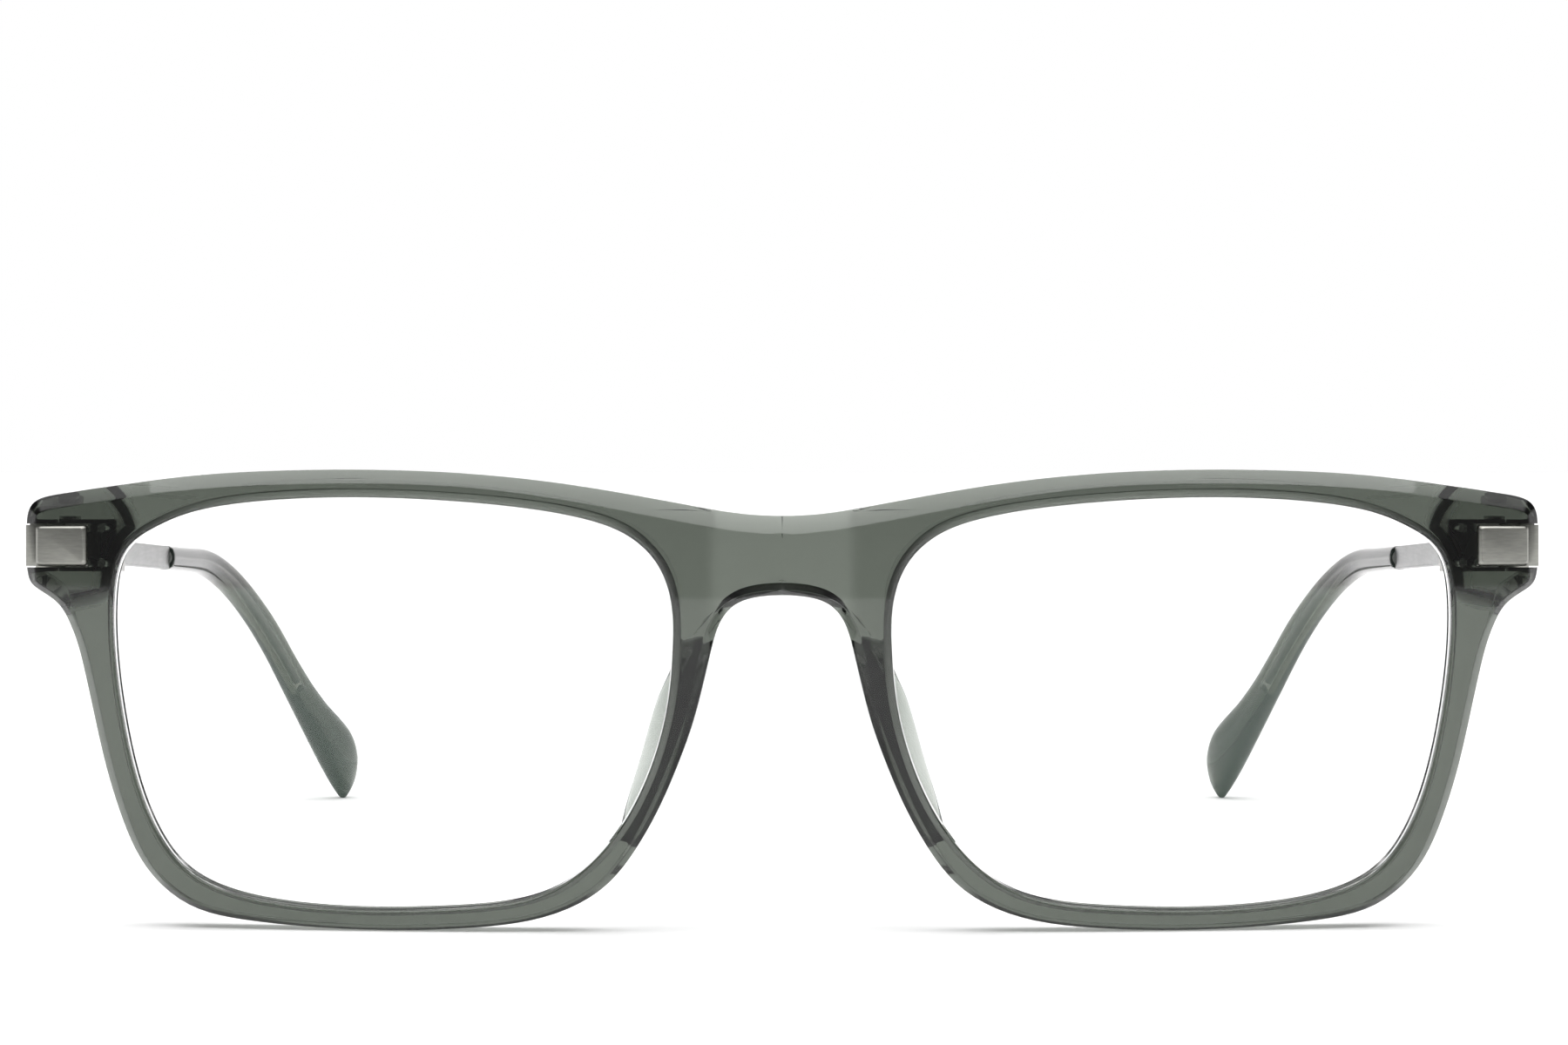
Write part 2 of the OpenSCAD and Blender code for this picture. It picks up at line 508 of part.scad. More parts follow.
// Nose pad: bonded to the back of the nasal rim, from below the arch to above the lower corner
PAD_SPAN = [[3.6, 3.85], [8, 7.8]];
pad_rings = 12;
pad_end_shares = [0.4, 0.1];
pad_fullness = 0.65;
function pad_form(f) =
    pad_reach * max(mix(pad_end_shares[0], pad_end_shares[1], f), pow(sin(180 * f), pad_fullness));
pad_lens_share = 0.93;
pad_crown = 0.06;
pad_hollow = 0.04;
function pad_ring(f) =
    let (s = mix(PAD_SPAN[0][0], PAD_SPAN[1][0], f), t = mix(PAD_SPAN[0][1], PAD_SPAN[1][1], f),
         e = edge_at(s), n = edge_normal(s),
         outer = at_depth([e[0], e[1]] - back_bevel(e[0], n) * n, front_t + bond_t),
         inner = at_depth(opening(t) + back_round * outwards(t), front_t + bond_t),
         away = unit([inner[0] - outer[0], 0, inner[2] - outer[2]]), back = [0, 1, 0], reach = pad_form(f),
         nose_edge = outer + reach * (cos(pad_splay) * back + sin(pad_splay) * away),
         lens_edge = inner + pad_lens_share * reach
             * (cos(pad_lens_splay) * back + sin(pad_lens_splay) * away))
    [outer, inner, mix(inner, lens_edge, 0.5), lens_edge,
     mix(nose_edge, lens_edge, 0.5) + pad_crown * reach * back, nose_edge,
     mix(outer, nose_edge, 0.5) - pad_hollow * reach * away];
module nose_pad(side) {
    color(acetate) both_sides(side) in_front() loft([for (i = [0 : pad_rings]) pad_ring(i / pad_rings)]);
}

// End block: bright bevelled face, a body that fills the notch, and an arm back to the temple
face_deep = 1.2;
module block_face() {
    w = face_w;
    deep = face_deep;
    intersection() {
        translate([0, 0, -block_h / 2]) linear_extrude(height = block_h)
            polygon([[-w / 2 + face_bevel, -block_proud], [w / 2 - face_bevel, -block_proud],
                [w / 2, face_bevel - block_proud], [w / 2, deep], [-w / 2, deep],
                [-w / 2, face_bevel - block_proud]]);
        translate([-w / 2, 0, 0]) rotate([90, 0, 90]) linear_extrude(height = w)
            polygon([[-block_proud, -block_h / 2 + face_bevel], [face_bevel - block_proud, -block_h / 2],
                [deep, -block_h / 2], [deep, block_h / 2], [face_bevel - block_proud, block_h / 2],
                [-block_proud, block_h / 2 - face_bevel]]);
    }
}
// Place in the end piece frame of a point given by its distance from the outer end of the front
function end_piece_x(inset) = (block_inset - inset) / cos(end_turn);
step_y = 0.55;
corner_r = 0.7;
arm_root = 1.2;
cover_h = notch_h + 2 * flange_over;
// Where the hinge axis lies across the end piece: the plate ends there, and the flange begins past it
plate_end = (hinge_x - block_x) * cos(end_turn)
    + (plate_depth + knuckle_r + knuckle_room) * sin(end_turn);
flange_gap = 0.3;
flange_x = plate_end + flange_gap;
flange_inset = 0.25;
module block_body() {
    side_x = end_piece_x(-wrap_proud);
    back_x = side_x + sin(end_turn - wall_turn) * end_t;
    translate([0, 0, -block_h / 2]) linear_extrude(height = block_h)
        polygon([[-face_w / 2, step_y], [side_x - corner_r, step_y + 0.1], [side_x, step_y + corner_r],
            [back_x, end_t + arm_root], [back_x - arm_t, end_t + arm_root],
            [back_x - arm_t, end_t], [-face_w / 2, end_t]]);
    translate([flange_x, end_t + plate_seat, -cover_h / 2])
        cube([back_x - flange_inset - flange_x, flange_t, cover_h]);
}
arm_overlap = 0.3;
arm_outer_x = hinge_inset + wrap_proud - arm_overlap;
module block_arm() {
    end_piece_back = leaned([block_x, sag(half_w, block_z) + front_t + boss_t, block_z])[1];
    back = hinge_point[1] - end_piece_back + arm_overlap;
    at_hinge() rotate([-temple_slope, 0, 0])
        translate([arm_outer_x - arm_t, butt_y - back, -block_h / 2])
            cube([arm_t, back - butt_gap, block_h]);
}
module end_block(side) {
    color(satin_metal) both_sides(side) union() {
        in_end_piece() block_face();
        in_end_piece() block_body();
        block_arm();
    }
}

// Plate behind the end piece with two knuckles
leaf_end = notch_inner - 2 * leaf_screw_inset;
leaf_margin = 0.35;
leaf_h = max(cover_h, leaf_screw_pitch + 2 * (leaf_screw_r + leaf_margin));
washer_room = washer_t + 2 * washer_play;
outer_knuckle_h = (hinge_h - mid_knuckle_h) / 2 - washer_room;
screw_grip = 0.01;
knuckle_foot = knuckle_r + knuckle_room + plate_t / 2;
knuckle_foot_w = 1.6 * knuckle_r;
module front_hinge_leaf(side) {
    knuckle_lows = [-hinge_h / 2, hinge_h / 2 - outer_knuckle_h];
    color(dark_metal) both_sides(side) difference() {
        union() {
            in_end_piece() translate([leaf_end, plate_y, -leaf_h / 2])
                cube([plate_end - leaf_end, plate_t, leaf_h]);
            at_hinge() for (low = knuckle_lows) {
                translate([0, 0, low]) cylinder(r = knuckle_r, h = outer_knuckle_h);
                translate([-knuckle_r, -knuckle_foot, low])
                    cube([knuckle_foot_w, knuckle_foot, outer_knuckle_h]);
            }
        }
        at_hinge() translate([0, 0, -hinge_h]) cylinder(r = screw_r + screw_grip, h = 2 * hinge_h);
        in_end_piece() for (p = screw_places)
            translate([p[0], 0, p[1]]) rotate([-90, 0, 0])
                cylinder(r = leaf_screw_r + screw_fit, h = plate_y + 2 * plate_t);
    }
}

leaf_head_r = 1.7 * leaf_screw_r;
leaf_head_h = 0.45;
leaf_slot_w = 0.2;
module slot(r, w, h) {
    translate([-2 * r, -w / 2, 0]) cube([4 * r, w, h]);
}
module leaf_screws(side) {
    shank = plate_t + plate_seat + leaf_screw_l;
    color(dark_metal) both_sides(side) in_end_piece() for (p = screw_places)
        translate([p[0], plate_y + plate_t, p[1]]) rotate([-90, 0, 0]) difference() {
            union() {
                cylinder(r = leaf_head_r, h = leaf_head_h);
                translate([0, 0, -shank]) cylinder(r = leaf_screw_r, h = shank + leaf_head_h / 2);
            }
            translate([0, 0, leaf_head_h / 2]) slot(leaf_head_r, leaf_slot_w, leaf_head_h);
        }
}

washer_r = knuckle_r - 0.1;
module hinge_washers(side) {
    first = mid_knuckle_h / 2 + washer_play;
    color(satin_metal) both_sides(side) at_hinge() for (low = [first, -first - washer_t])
        translate([0, 0, low]) difference() {
            cylinder(r = washer_r, h = washer_t);
            translate([0, 0, -washer_t]) cylinder(r = screw_r + screw_play, h = 3 * washer_t);
        }
}

hinge_slot_w = 0.25;
module hinge_screw(side) {
    color(satin_metal) both_sides(side) at_hinge() difference() {
        union() {
            translate([0, 0, -hinge_h / 2]) cylinder(r = screw_r, h = hinge_h + screw_head_h / 2);
            translate([0, 0, hinge_h / 2]) cylinder(r = screw_head_r, h = screw_head_h);
        }
        translate([0, 0, (hinge_h + screw_head_h) / 2]) slot(screw_head_r, hinge_slot_w, screw_head_h);
    }
}

// Plate on the inside of the temple bar, with the middle knuckle
module temple_hinge_leaf(side) {
    plate_x = bar_outer_x - bar_t - plate_t;
    plate_h = 0.85 * bar_h;
    color(dark_metal) both_sides(side) difference() {
        union() {
            at_hinge() translate([0, 0, -mid_knuckle_h / 2]) {
                cylinder(r = knuckle_r, h = mid_knuckle_h);
                translate([0, -knuckle_r / 2, 0]) cube([plate_x + plate_t / 2, knuckle_r, mid_knuckle_h]);
            }
            in_temple() translate([plate_x, butt_y, -plate_h / 2])
                cube([plate_t, temple_plate_l - butt_y, plate_h]);
        }
        at_hinge() translate([0, 0, -hinge_h]) cylinder(r = screw_r + screw_play, h = 2 * hinge_h);
    }
}

// Metal bar: full height at the hinge, then slim, then a round core wire inside the tip
bar_step = 6;
tip_joint_gap = 0.02;
bar_end = bar_l - tip_joint_gap;
bar_taper_l = 24;
BAR_PLACES = concat([butt_y, temple_plate_l, plate_run],
    [for (s = [plate_run + bar_step : bar_step : bar_l - bar_step / 2]) s], [bar_end]);
function bar_half_h(s) =
    mix(block_h, bar_h, ramp(s, temple_plate_l, temple_plate_l + bar_taper_l)) / 2;
bar_power = 0.35;
WIRE_PLACES = [for (s = TIP_PLACES) if (s < wire_l) s];
function core_r(s) = mix(wire_r, wire_end_r, min(1, max(0, s) / wire_l));
module temple_bar(side) {
    color(satin_metal) both_sides(side) in_temple() loft(concat(
        [for (s = BAR_PLACES) ring_at(s, bar_t / 2, bar_half_h(s), wire_sides, bar_power)],
        [for (s = concat([-tip_joint_gap / 2], [for (s = WIRE_PLACES) if (s > 0) s], [wire_l]))
            ring_at(bar_l + s, core_r(s), core_r(s), wire_sides, 1)]));
}

// Acetate tip, hollow for the core wire
bore_spare = 1;
module temple_tip(side) {
    bore_places = concat(WIRE_PLACES, [wire_l + bore_spare]);
    bore_rings = [for (s = bore_places) let (r = core_r(s) / cos(180 / wire_sides) + wire_gap)
        ring_at(bar_l + s, r, r, wire_sides, 1)];
    n = tip_sides;
    m = len(TIP_RINGS);
    k = wire_sides;
    b = len(bore_rings);
    first = n * m;
    color(acetate) both_sides(side) in_temple() polyhedron(
        points = concat([for (r = TIP_RINGS, p = r) p], [for (r = bore_rings, p = r) p]),
        faces = concat(
            [for (j = [0 : m - 2], i = [0 : n - 1]) each quad(j * n + i, j * n + (i + 1) % n,
                (j + 1) * n + (i + 1) % n, (j + 1) * n + i)],
            [[for (i = [0 : n - 1]) (m - 1) * n + i]],
            [for (j = [0 : b - 2], i = [0 : k - 1]) each quad(first + j * k + i, first + (j + 1) * k + i,
                first + (j + 1) * k + (i + 1) % k, first + j * k + (i + 1) % k)],
            [[for (i = [k - 1 : -1 : 0]) first + (b - 1) * k + i]],
            [for (i = [0 : k - 1]) let (a = 2 * i, c = (2 * i + 1) % n, e = (2 * i + 2) % n)
                each [[c, a, first + i], [first + i, first + (i + 1) % k, c],
                    [e, c, first + (i + 1) % k]]]));
}

front_frame();
lens("right");  // lens_right
lens("left");  // lens_left
nose_pad("right");  // nose_pad_right
nose_pad("left");  // nose_pad_left
end_block("right");  // end_block_right
end_block("left");  // end_block_left
front_hinge_leaf("right");  // front_hinge_leaf_right
front_hinge_leaf("left");  // front_hinge_leaf_left
leaf_screws("right");  // leaf_screws_right
leaf_screws("left");  // leaf_screws_left
hinge_washers("right");  // hinge_washers_right
hinge_washers("left");  // hinge_washers_left
hinge_screw("right");  // hinge_screw_right
hinge_screw("left");  // hinge_screw_left
temple_hinge_leaf("right");  // temple_hinge_leaf_right
temple_hinge_leaf("left");  // temple_hinge_leaf_left
temple_bar("right");  // temple_bar_right
temple_bar("left");  // temple_bar_left
temple_tip("right");  // temple_tip_right
temple_tip("left");  // temple_tip_left
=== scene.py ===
import json
import math
import bmesh
import bpy
from mathutils import Matrix, Vector


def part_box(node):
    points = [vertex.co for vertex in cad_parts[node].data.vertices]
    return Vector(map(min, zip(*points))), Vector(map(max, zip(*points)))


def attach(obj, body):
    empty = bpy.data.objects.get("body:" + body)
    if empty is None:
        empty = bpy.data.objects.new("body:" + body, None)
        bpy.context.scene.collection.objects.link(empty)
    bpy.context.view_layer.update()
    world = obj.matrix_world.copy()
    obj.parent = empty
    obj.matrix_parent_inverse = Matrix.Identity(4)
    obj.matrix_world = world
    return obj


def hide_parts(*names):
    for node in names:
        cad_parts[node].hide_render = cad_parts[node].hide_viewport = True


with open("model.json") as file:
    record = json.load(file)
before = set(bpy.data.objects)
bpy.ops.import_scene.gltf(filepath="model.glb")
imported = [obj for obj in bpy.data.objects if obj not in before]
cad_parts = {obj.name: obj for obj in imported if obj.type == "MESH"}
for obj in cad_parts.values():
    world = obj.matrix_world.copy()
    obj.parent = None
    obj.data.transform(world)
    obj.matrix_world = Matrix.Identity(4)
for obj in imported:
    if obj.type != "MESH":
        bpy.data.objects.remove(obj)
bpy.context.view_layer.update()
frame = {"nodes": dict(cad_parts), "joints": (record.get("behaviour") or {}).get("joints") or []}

MM = 0.001

# Sizes of the front
EYE_W, EYE_H, BRIDGE_W, BRIDGE_H, BRIDGE_DIP = 51.7, 38.2, 20, 7.25, 4.1
BROW_RIM, SILL_RIM, SIDE_RIM, NOSE_RIM, END_REACH = 2.45, 2, 2.65, 2.15, 8.4
FRONT_T, BEVEL_W, BEVEL_DEPTH, WALL_DRAFT, BACK_ROUND, EDGE_BREAK = 4, 1.0, 0.9, 0.3, 0.45, 0.2
BOSS_T, BOSS_R, BOSS_SLOPE_W, BRIDGE_HOLLOW = 1.1, 4.9, 1.2, 0.6
ARCH_BACK_BEVEL, END_BACK_BEVEL = 0.95, 1.25
BASE_RADIUS, FRONT_LEAN, WALL_TURN = 133, 3.5, math.radians(5)
# Lenses and their groove
LENS_T, GROOVE_AT, GROOVE_DEPTH, GROOVE_HALF, LENS_GAP = 1.9, 1.9, 0.6, 0.9, 0.12
# Nose pads
PAD_REACH, PAD_SPLAY, PAD_LENS_SPLAY, BOND_T = 6.2, math.radians(26), math.radians(21), 0.04
# End blocks
BLOCK_H, BLOCK_FACE_W, BLOCK_INSET, BLOCK_DROP, BLOCK_GAP = 3.8, 4.9, 3.45, 7.4, 0.13
BLOCK_PROUD, FACE_BEVEL, WRAP_PROUD, ARM_T, FLANGE_T, FLANGE_OVER = 0.1, 0.3, 0.4, 1.5, 0.5, 0.35
STEP_Y, FACE_DEEP, ARM_ROOT, ARM_OVERLAP, FLANGE_GAP, FLANGE_INSET = 0.55, 1.2, 1.2, 0.3, 0.3, 0.25
# Hinges, as far as the blocks and the temples meet them
HINGE_INSET, LEAF_SCREW_R, LEAF_SCREW_L, LEAF_SCREW_PITCH, LEAF_SCREW_INSET = 4.05, 0.4, 2.4, 3.2, 0.75
SCREW_FIT, HOLE_SPARE, BUTT_Y, BUTT_GAP = 0.02, 0.2, -0.4, 0.08
KNUCKLE_R, KNUCKLE_ROOM, PLATE_T, PLATE_SEAT = 1.45, 0.3, 0.9, 0.1
# Temples
BAR_L, BAR_T, BAR_H, BAR_TURN, PLATE_L, BAR_TAPER_L = 70, 1.3, 2.4, 3.75, 8, 24
TIP_L, TIP_W, TIP_H = 69, 2.3, 2.5
EAR_REACH, EAR_BEND_L, EAR_BEND, EAR_CURL = 17.5, 34, 47, 24.5
WIRE_R, WIRE_END_R, WIRE_L, WIRE_GAP = 0.8, 0.5, 52, 0.08

HALF_W = BRIDGE_W / 2 + EYE_W + END_REACH
EYE_X = (BRIDGE_W + EYE_W) / 2
EYE_Z = SILL_RIM + EYE_H / 2
BROW_Z = SILL_RIM + EYE_H + BROW_RIM
BRIDGE_Z = BROW_Z - BRIDGE_DIP
ARCH_Z = BRIDGE_Z - BRIDGE_H
BLOCK_X = HALF_W - BLOCK_INSET
BLOCK_Z = BROW_Z - BLOCK_DROP
CORNER_X = BRIDGE_W / 2 + EYE_W
FACE_TURN_X = EYE_X - BASE_RADIUS * math.sin(WALL_TURN)
END_TURN = math.atan((CORNER_X - FACE_TURN_X) / BASE_RADIUS)
END_TILT = math.atan((BLOCK_Z - EYE_Z) / BASE_RADIUS)
END_T = ((FRONT_T + BOSS_T) * (1 + math.tan(WALL_TURN) * math.tan(END_TURN))
         * math.cos(END_TURN) * math.cos(END_TILT))


def mix(a, b, f):
    return a + (b - a) * f


def ramp(x, low, high):
    f = min(1, max(0, (x - low) / (high - low)))
    return f * f * (3 - 2 * f)


# The base curve, and a point of the front at a depth behind its front face

def sag(x, z):
    u = max(0, abs(x) - FACE_TURN_X)
    edge = CORNER_X - FACE_TURN_X
    across = u * u / 2 if u < edge else edge * edge / 2 + (u - edge) * edge
    return (across + (z - EYE_Z) ** 2 / 2) / BASE_RADIUS


def at_depth(x, z, depth):
    return Vector((x - math.tan(WALL_TURN) * depth * ramp(x, 0, BRIDGE_W / 2), sag(x, z) + depth, z))


# Smooth curves that run close through their points

def push(a, b, c):
    return b - (a - 2 * b + c) / 6


def cubic(a, b, c, d, f):
    near = (1 - f) ** 3 * a + (3 * f ** 3 - 6 * f * f + 4) * b
    return (near + (3 * f * (1 + f - f * f) + 1) * c + f ** 3 * d) / 6


# Shape of the lens opening round its middle, drawn at the size below, with the temple towards +x
SHAPE_SIZE = (51.8, 38.2)
LENS_SHAPE = [(-17.4, 17.3), (-21.6, 15.8), (-24.5, 13.1), (-25.8, 9.3), (-25.8, 4.8), (-25.4, 0.3),
              (-24.2, -4.5), (-22.3, -9), (-19.6, -13.1), (-15.8, -16.5), (-10.9, -18.3), (-4.2, -18.9),
              (3, -19.1), (10, -18.7), (15.6, -17.6), (19.7, -15.4), (22.3, -11.6), (24, -6.9),
              (25.1, -1.5), (25.8, 4.3), (25.8, 10), (24.7, 13.9), (21.8, 16), (17.8, 17.7),
              (11.3, 18.7), (3.5, 19.1), (-4.3, 18.9), (-11.5, 18.3)]
TURNS = len(LENS_SHAPE)
SCALE_X, SCALE_Z = EYE_W / SHAPE_SIZE[0], EYE_H / SHAPE_SIZE[1]
LENS_KNOTS = [Vector((EYE_X + x * SCALE_X, EYE_Z + z * SCALE_Z)) for x, z in LENS_SHAPE]
LENS_CURVE = [push(LENS_KNOTS[i - 1], LENS_KNOTS[i], LENS_KNOTS[(i + 1) % TURNS]) for i in range(TURNS)]


def opening(t):
    i = math.floor(t)
    return cubic(*(LENS_CURVE[(i + k) % TURNS] for k in (-1, 0, 1, 2)), t - i)


def outwards(t):
    d = (opening(t + 0.05) - opening(t - 0.05)).normalized()
    return Vector((d[1], -d[0]))


def beside(t, width):
    p = opening(t) + width * outwards(t)
    return (p[0], p[1], t)


# Outer edge of one half, from the arch of the bridge round to the top of the bridge.
# Each point is x, z and the place on the opening that the rim there is joined to.
NASAL_EDGE = [(0, ARCH_Z, 3.1), (2.2, ARCH_Z - 0.15, 3.3), (4.4, ARCH_Z - 0.85, 3.6),
              (5.85, ARCH_Z - 2.7, 4), (BRIDGE_W / 2 - 3.3, ARCH_Z - 5.6, 4.5)]
RIM_WIDTHS = [(5.1, NOSE_RIM + 0.5), (5.9, NOSE_RIM + 0.1), (6.8, NOSE_RIM), (7.7, NOSE_RIM + 0.1),
              (8.6, NOSE_RIM + 0.4), (9.6, SILL_RIM + 0.2), (10.6, SILL_RIM), (11.6, SILL_RIM),
              (12.6, SILL_RIM), (13.6, SILL_RIM + 0.3), (14.5, SIDE_RIM + 0.3), (15.4, SIDE_RIM + 0.3),
              (16.3, SIDE_RIM), (17.2, SIDE_RIM), (18.1, SIDE_RIM + 0.15)]
END_EDGE = [(-5.15, -10.1, 19), (-4.25, -7.6, 19.5), (-3.2, -5.6, 19.9), (-1.45, -4.4, 20.2),
            (-0.3, -3.5, 20.5), (0, -1.7, 20.8), (0, 1, 21.2), (-0.15, 3, 21.5), (-1.3, 4.2, 21.9),
            (-4, 4.75, 22.4), (-6.4, 5.2, 22.8)]
BROW_EDGE = [(18, 0.7, 24), (9.5, 0.15, 24.7), (1.5, 0, 25.4), (-6.5, 0.25, 26.2), (-14, 0.95, 27)]
BRIDGE_EDGE = [(BRIDGE_W / 2 + 4.9, BRIDGE_Z + 2.1, 27.8), (BRIDGE_W / 2 - 2, BRIDGE_Z + 0.85, 28.4),
               (3.8, BRIDGE_Z + 0.2, 28.8), (0, BRIDGE_Z, 29.1)]
OUTER_EDGE = [Vector(p) for p in (
    NASAL_EDGE + [beside(*r) for r in RIM_WIDTHS]
    + [(HALF_W + x, BLOCK_Z + z, t) for x, z, t in END_EDGE] + [(HALF_W - 9, BROW_Z - 1.8, 23.2)]
    + [(EYE_X + x * SCALE_X, BROW_Z - z, t) for x, z, t in BROW_EDGE] + BRIDGE_EDGE)]
LAST_KNOT = len(OUTER_EDGE) - 1


def edge_knot(i):
    """Point i of the outer edge. Past either end it is the mirror image on the other half."""
    if 0 <= i <= LAST_KNOT:
        return OUTER_EDGE[i]
    if i < 0:
        near, end = OUTER_EDGE[-i], OUTER_EDGE[0]
    else:
        near, end = OUTER_EDGE[2 * LAST_KNOT - i], OUTER_EDGE[-1]
    return Vector((-near[0], near[1], 2 * end[2] - near[2]))


EDGE_CURVE = [push(edge_knot(i - 1), edge_knot(i), edge_knot(i + 1)) for i in range(-1, LAST_KNOT + 2)]


def edge_at(s):
    i = min(LAST_KNOT - 1, max(0, math.floor(s)))
    return cubic(*EDGE_CURVE[i:i + 4], s - i)


def edge_normal(s):
    if s in (0, LAST_KNOT):
        return Vector((0, -1 if s == 0 else 1))
    d = (edge_at(s + 0.02) - edge_at(s - 0.02)).xy.normalized()
    return Vector((d[1], -d[0]))


# Stations round one rim: the outer edge first, then the middle plane of the bridge from top to arch
EDGE_STEPS = 5
MIDDLE_STEPS = 10
# The bevel is widest above the nose, wide along the brow and narrow where it faces down
BEVEL_MORE_ABOVE_NOSE, BEVEL_MORE_ABOVE_BROW, BEVEL_LESS_BELOW, BROW_FROM = 0.6, 0.2, 0.4, (10, 32)


def bevel_more(x, n):
    if n[1] < 0:
        return BEVEL_LESS_BELOW
    return mix(BEVEL_MORE_ABOVE_NOSE, BEVEL_MORE_ABOVE_BROW, ramp(x, *BROW_FROM))


def stations():
    """Each has a point of the outer edge, the way out there, the bevel's width
    and the place on the opening that the rim there is joined to."""
    found = []
    for j in range(LAST_KNOT * EDGE_STEPS + 1):
        s = j / EDGE_STEPS
        e, n = edge_at(s), edge_normal(s)
        width = BEVEL_W + bevel_more(e[0], n) * n[1]
        x = 0 if s in (0, LAST_KNOT) else e[0]
        found.append((Vector((x, e[1])), n, width, e[2]))
    top, arch = edge_at(LAST_KNOT), edge_at(0)
    for j in range(1, MIDDLE_STEPS):
        f = j / MIDDLE_STEPS
        z = mix(top[1] - BEVEL_W - BEVEL_MORE_ABOVE_NOSE, arch[1] + BEVEL_W - BEVEL_LESS_BELOW, f)
        found.append((Vector((0, z)), Vector((0, 0)), 0, mix(top[2] - TURNS, arch[2], f)))
    return found


# A rounded corner has five points. It takes at most this share of the side beside it, and its first and
# last point stand this many radii from the corner.
CORNER_POINTS, MOST_ROUND, ROUND_LEAD = 5, 0.3, 1.5


def rounded(corners, between):
    """Closed outline with its corners rounded. A corner is a point and a radius; between is how many
    points go between one corner and the next. A corner of radius 0 gives the same count of points."""
    out = []
    n = len(corners)
    for k, (p, r) in enumerate(corners):
        before, after = corners[k - 1][0] - p, corners[(k + 1) % n][0] - p
        a = before.normalized() * min(r, MOST_ROUND * before.length)
        b = after.normalized() * min(r, MOST_ROUND * after.length)
        out += [p + ROUND_LEAD * a, p + a, p + (a + b) / 4, p + b, p + ROUND_LEAD * b]
        q, rq = corners[(k + 1) % n]
        back = (p - q).normalized() * min(rq, MOST_ROUND * after.length) * ROUND_LEAD
        start, end = p + ROUND_LEAD * b, q + back
        out += [mix(start, end, (i + 1) / (between[k] + 1)) for i in range(between[k])]
    return out


# The bevel on the back edges is wide along the arch and round the end pieces
ARCH_BEVEL_ENDS = (6.4, 8)
END_BEVEL_ENDS = (HALF_W - 4, HALF_W - 2.5)


def back_bevel(x, n):
    if n[1] < 0 and x < ARCH_BEVEL_ENDS[1]:
        return mix(ARCH_BACK_BEVEL, BACK_ROUND, ramp(x, *ARCH_BEVEL_ENDS))
    return mix(BACK_ROUND, END_BACK_BEVEL, ramp(x, *END_BEVEL_ENDS))


# Back of the acetate: hollowed behind the bridge, and raised to a round boss behind each end block
HOLLOW_ENDS, HOLLOW_LOWS = (6.2, 7.4), (ARCH_Z - 3, ARCH_Z - 0.5)
BOSS_AT = Vector((BLOCK_X - (FRONT_T + BOSS_T) * (math.tan(END_TURN) - math.tan(WALL_TURN)), BLOCK_Z))


def boss_share(p):
    """1 on the boss, 0 away from it, and between on the slope round it"""
    return min(1, max(0, (BOSS_R + BOSS_SLOPE_W - (p - BOSS_AT).length) / BOSS_SLOPE_W))


def back_depth(p):
    hollow = (1 - ramp(p[0], *HOLLOW_ENDS)) * ramp(p[1], *HOLLOW_LOWS)
    return FRONT_T - BRIDGE_HOLLOW * hollow + BOSS_T * boss_share(p)


def way_out(p, d, r):
    """Where a line from p along d leaves the circle of radius r round the middle of the boss"""
    c = p - BOSS_AT
    a, b, e = d.dot(d), c.dot(d), c.dot(c) - r * r
    return 0 if e > 0 else (math.sqrt(b * b - a * e) - b) / a


def back_slope(outer, inner):
    """The two places on the back between which it slopes, each with its depth"""
    d = inner - outer
    raised = boss_share(outer) > 0
    if raised:
        foot = min(0.98, way_out(outer, d, BOSS_R + BOSS_SLOPE_W))
        places = (max(0.02, min(way_out(outer, d, BOSS_R), foot - BOSS_SLOPE_W / d.length)), foot)
    elif outer[0] < HOLLOW_ENDS[0]:
        places = [(x - outer[0]) / d[0] for x in HOLLOW_ENDS]
    else:
        places = (1 / 3, 2 / 3)
    p, q = (mix(outer, inner, f) for f in places)
    return (p, back_depth(outer if raised else p)), (q, FRONT_T if raised else back_depth(q))


# The corners of a section start on the front at the opening and go out over the face, round the back and
# in to the lens groove. Each has a radius, and a count of points between it and the next.
CORNER_RADII = [0.1, 0.14, 0.06, 0.2, 0.2, 0.3, 0.3, 0.2, 0.2, 0.06, 0.1, 0.06, 0.1]
BETWEEN = [6, 1, 2, 0, 2, 1, 3, 0, 1, 0, 0, 0, 0]
OUTER_CORNERS = range(1, 5)
BACK_OUTER, SLOPE_TOP, SLOPE_FOOT, GROOVE_BACK, GROOVE_FRONT = 4, 5, 6, 9, 11


def corner_id(k):
    """Number of the middle point of a corner of the section"""
    return sum(BETWEEN[:k]) + k * CORNER_POINTS + 2


# Points of a section that are only milled, and how much the slope of the boss is, with the groove as 1
GROOVE_IDS = range(corner_id(GROOVE_BACK), corner_id(GROOVE_FRONT) + 1)
SLOPE_IDS = range(corner_id(SLOPE_TOP) - 2, corner_id(SLOPE_FOOT) + 3)
SLOPE_FINISH = 0.5


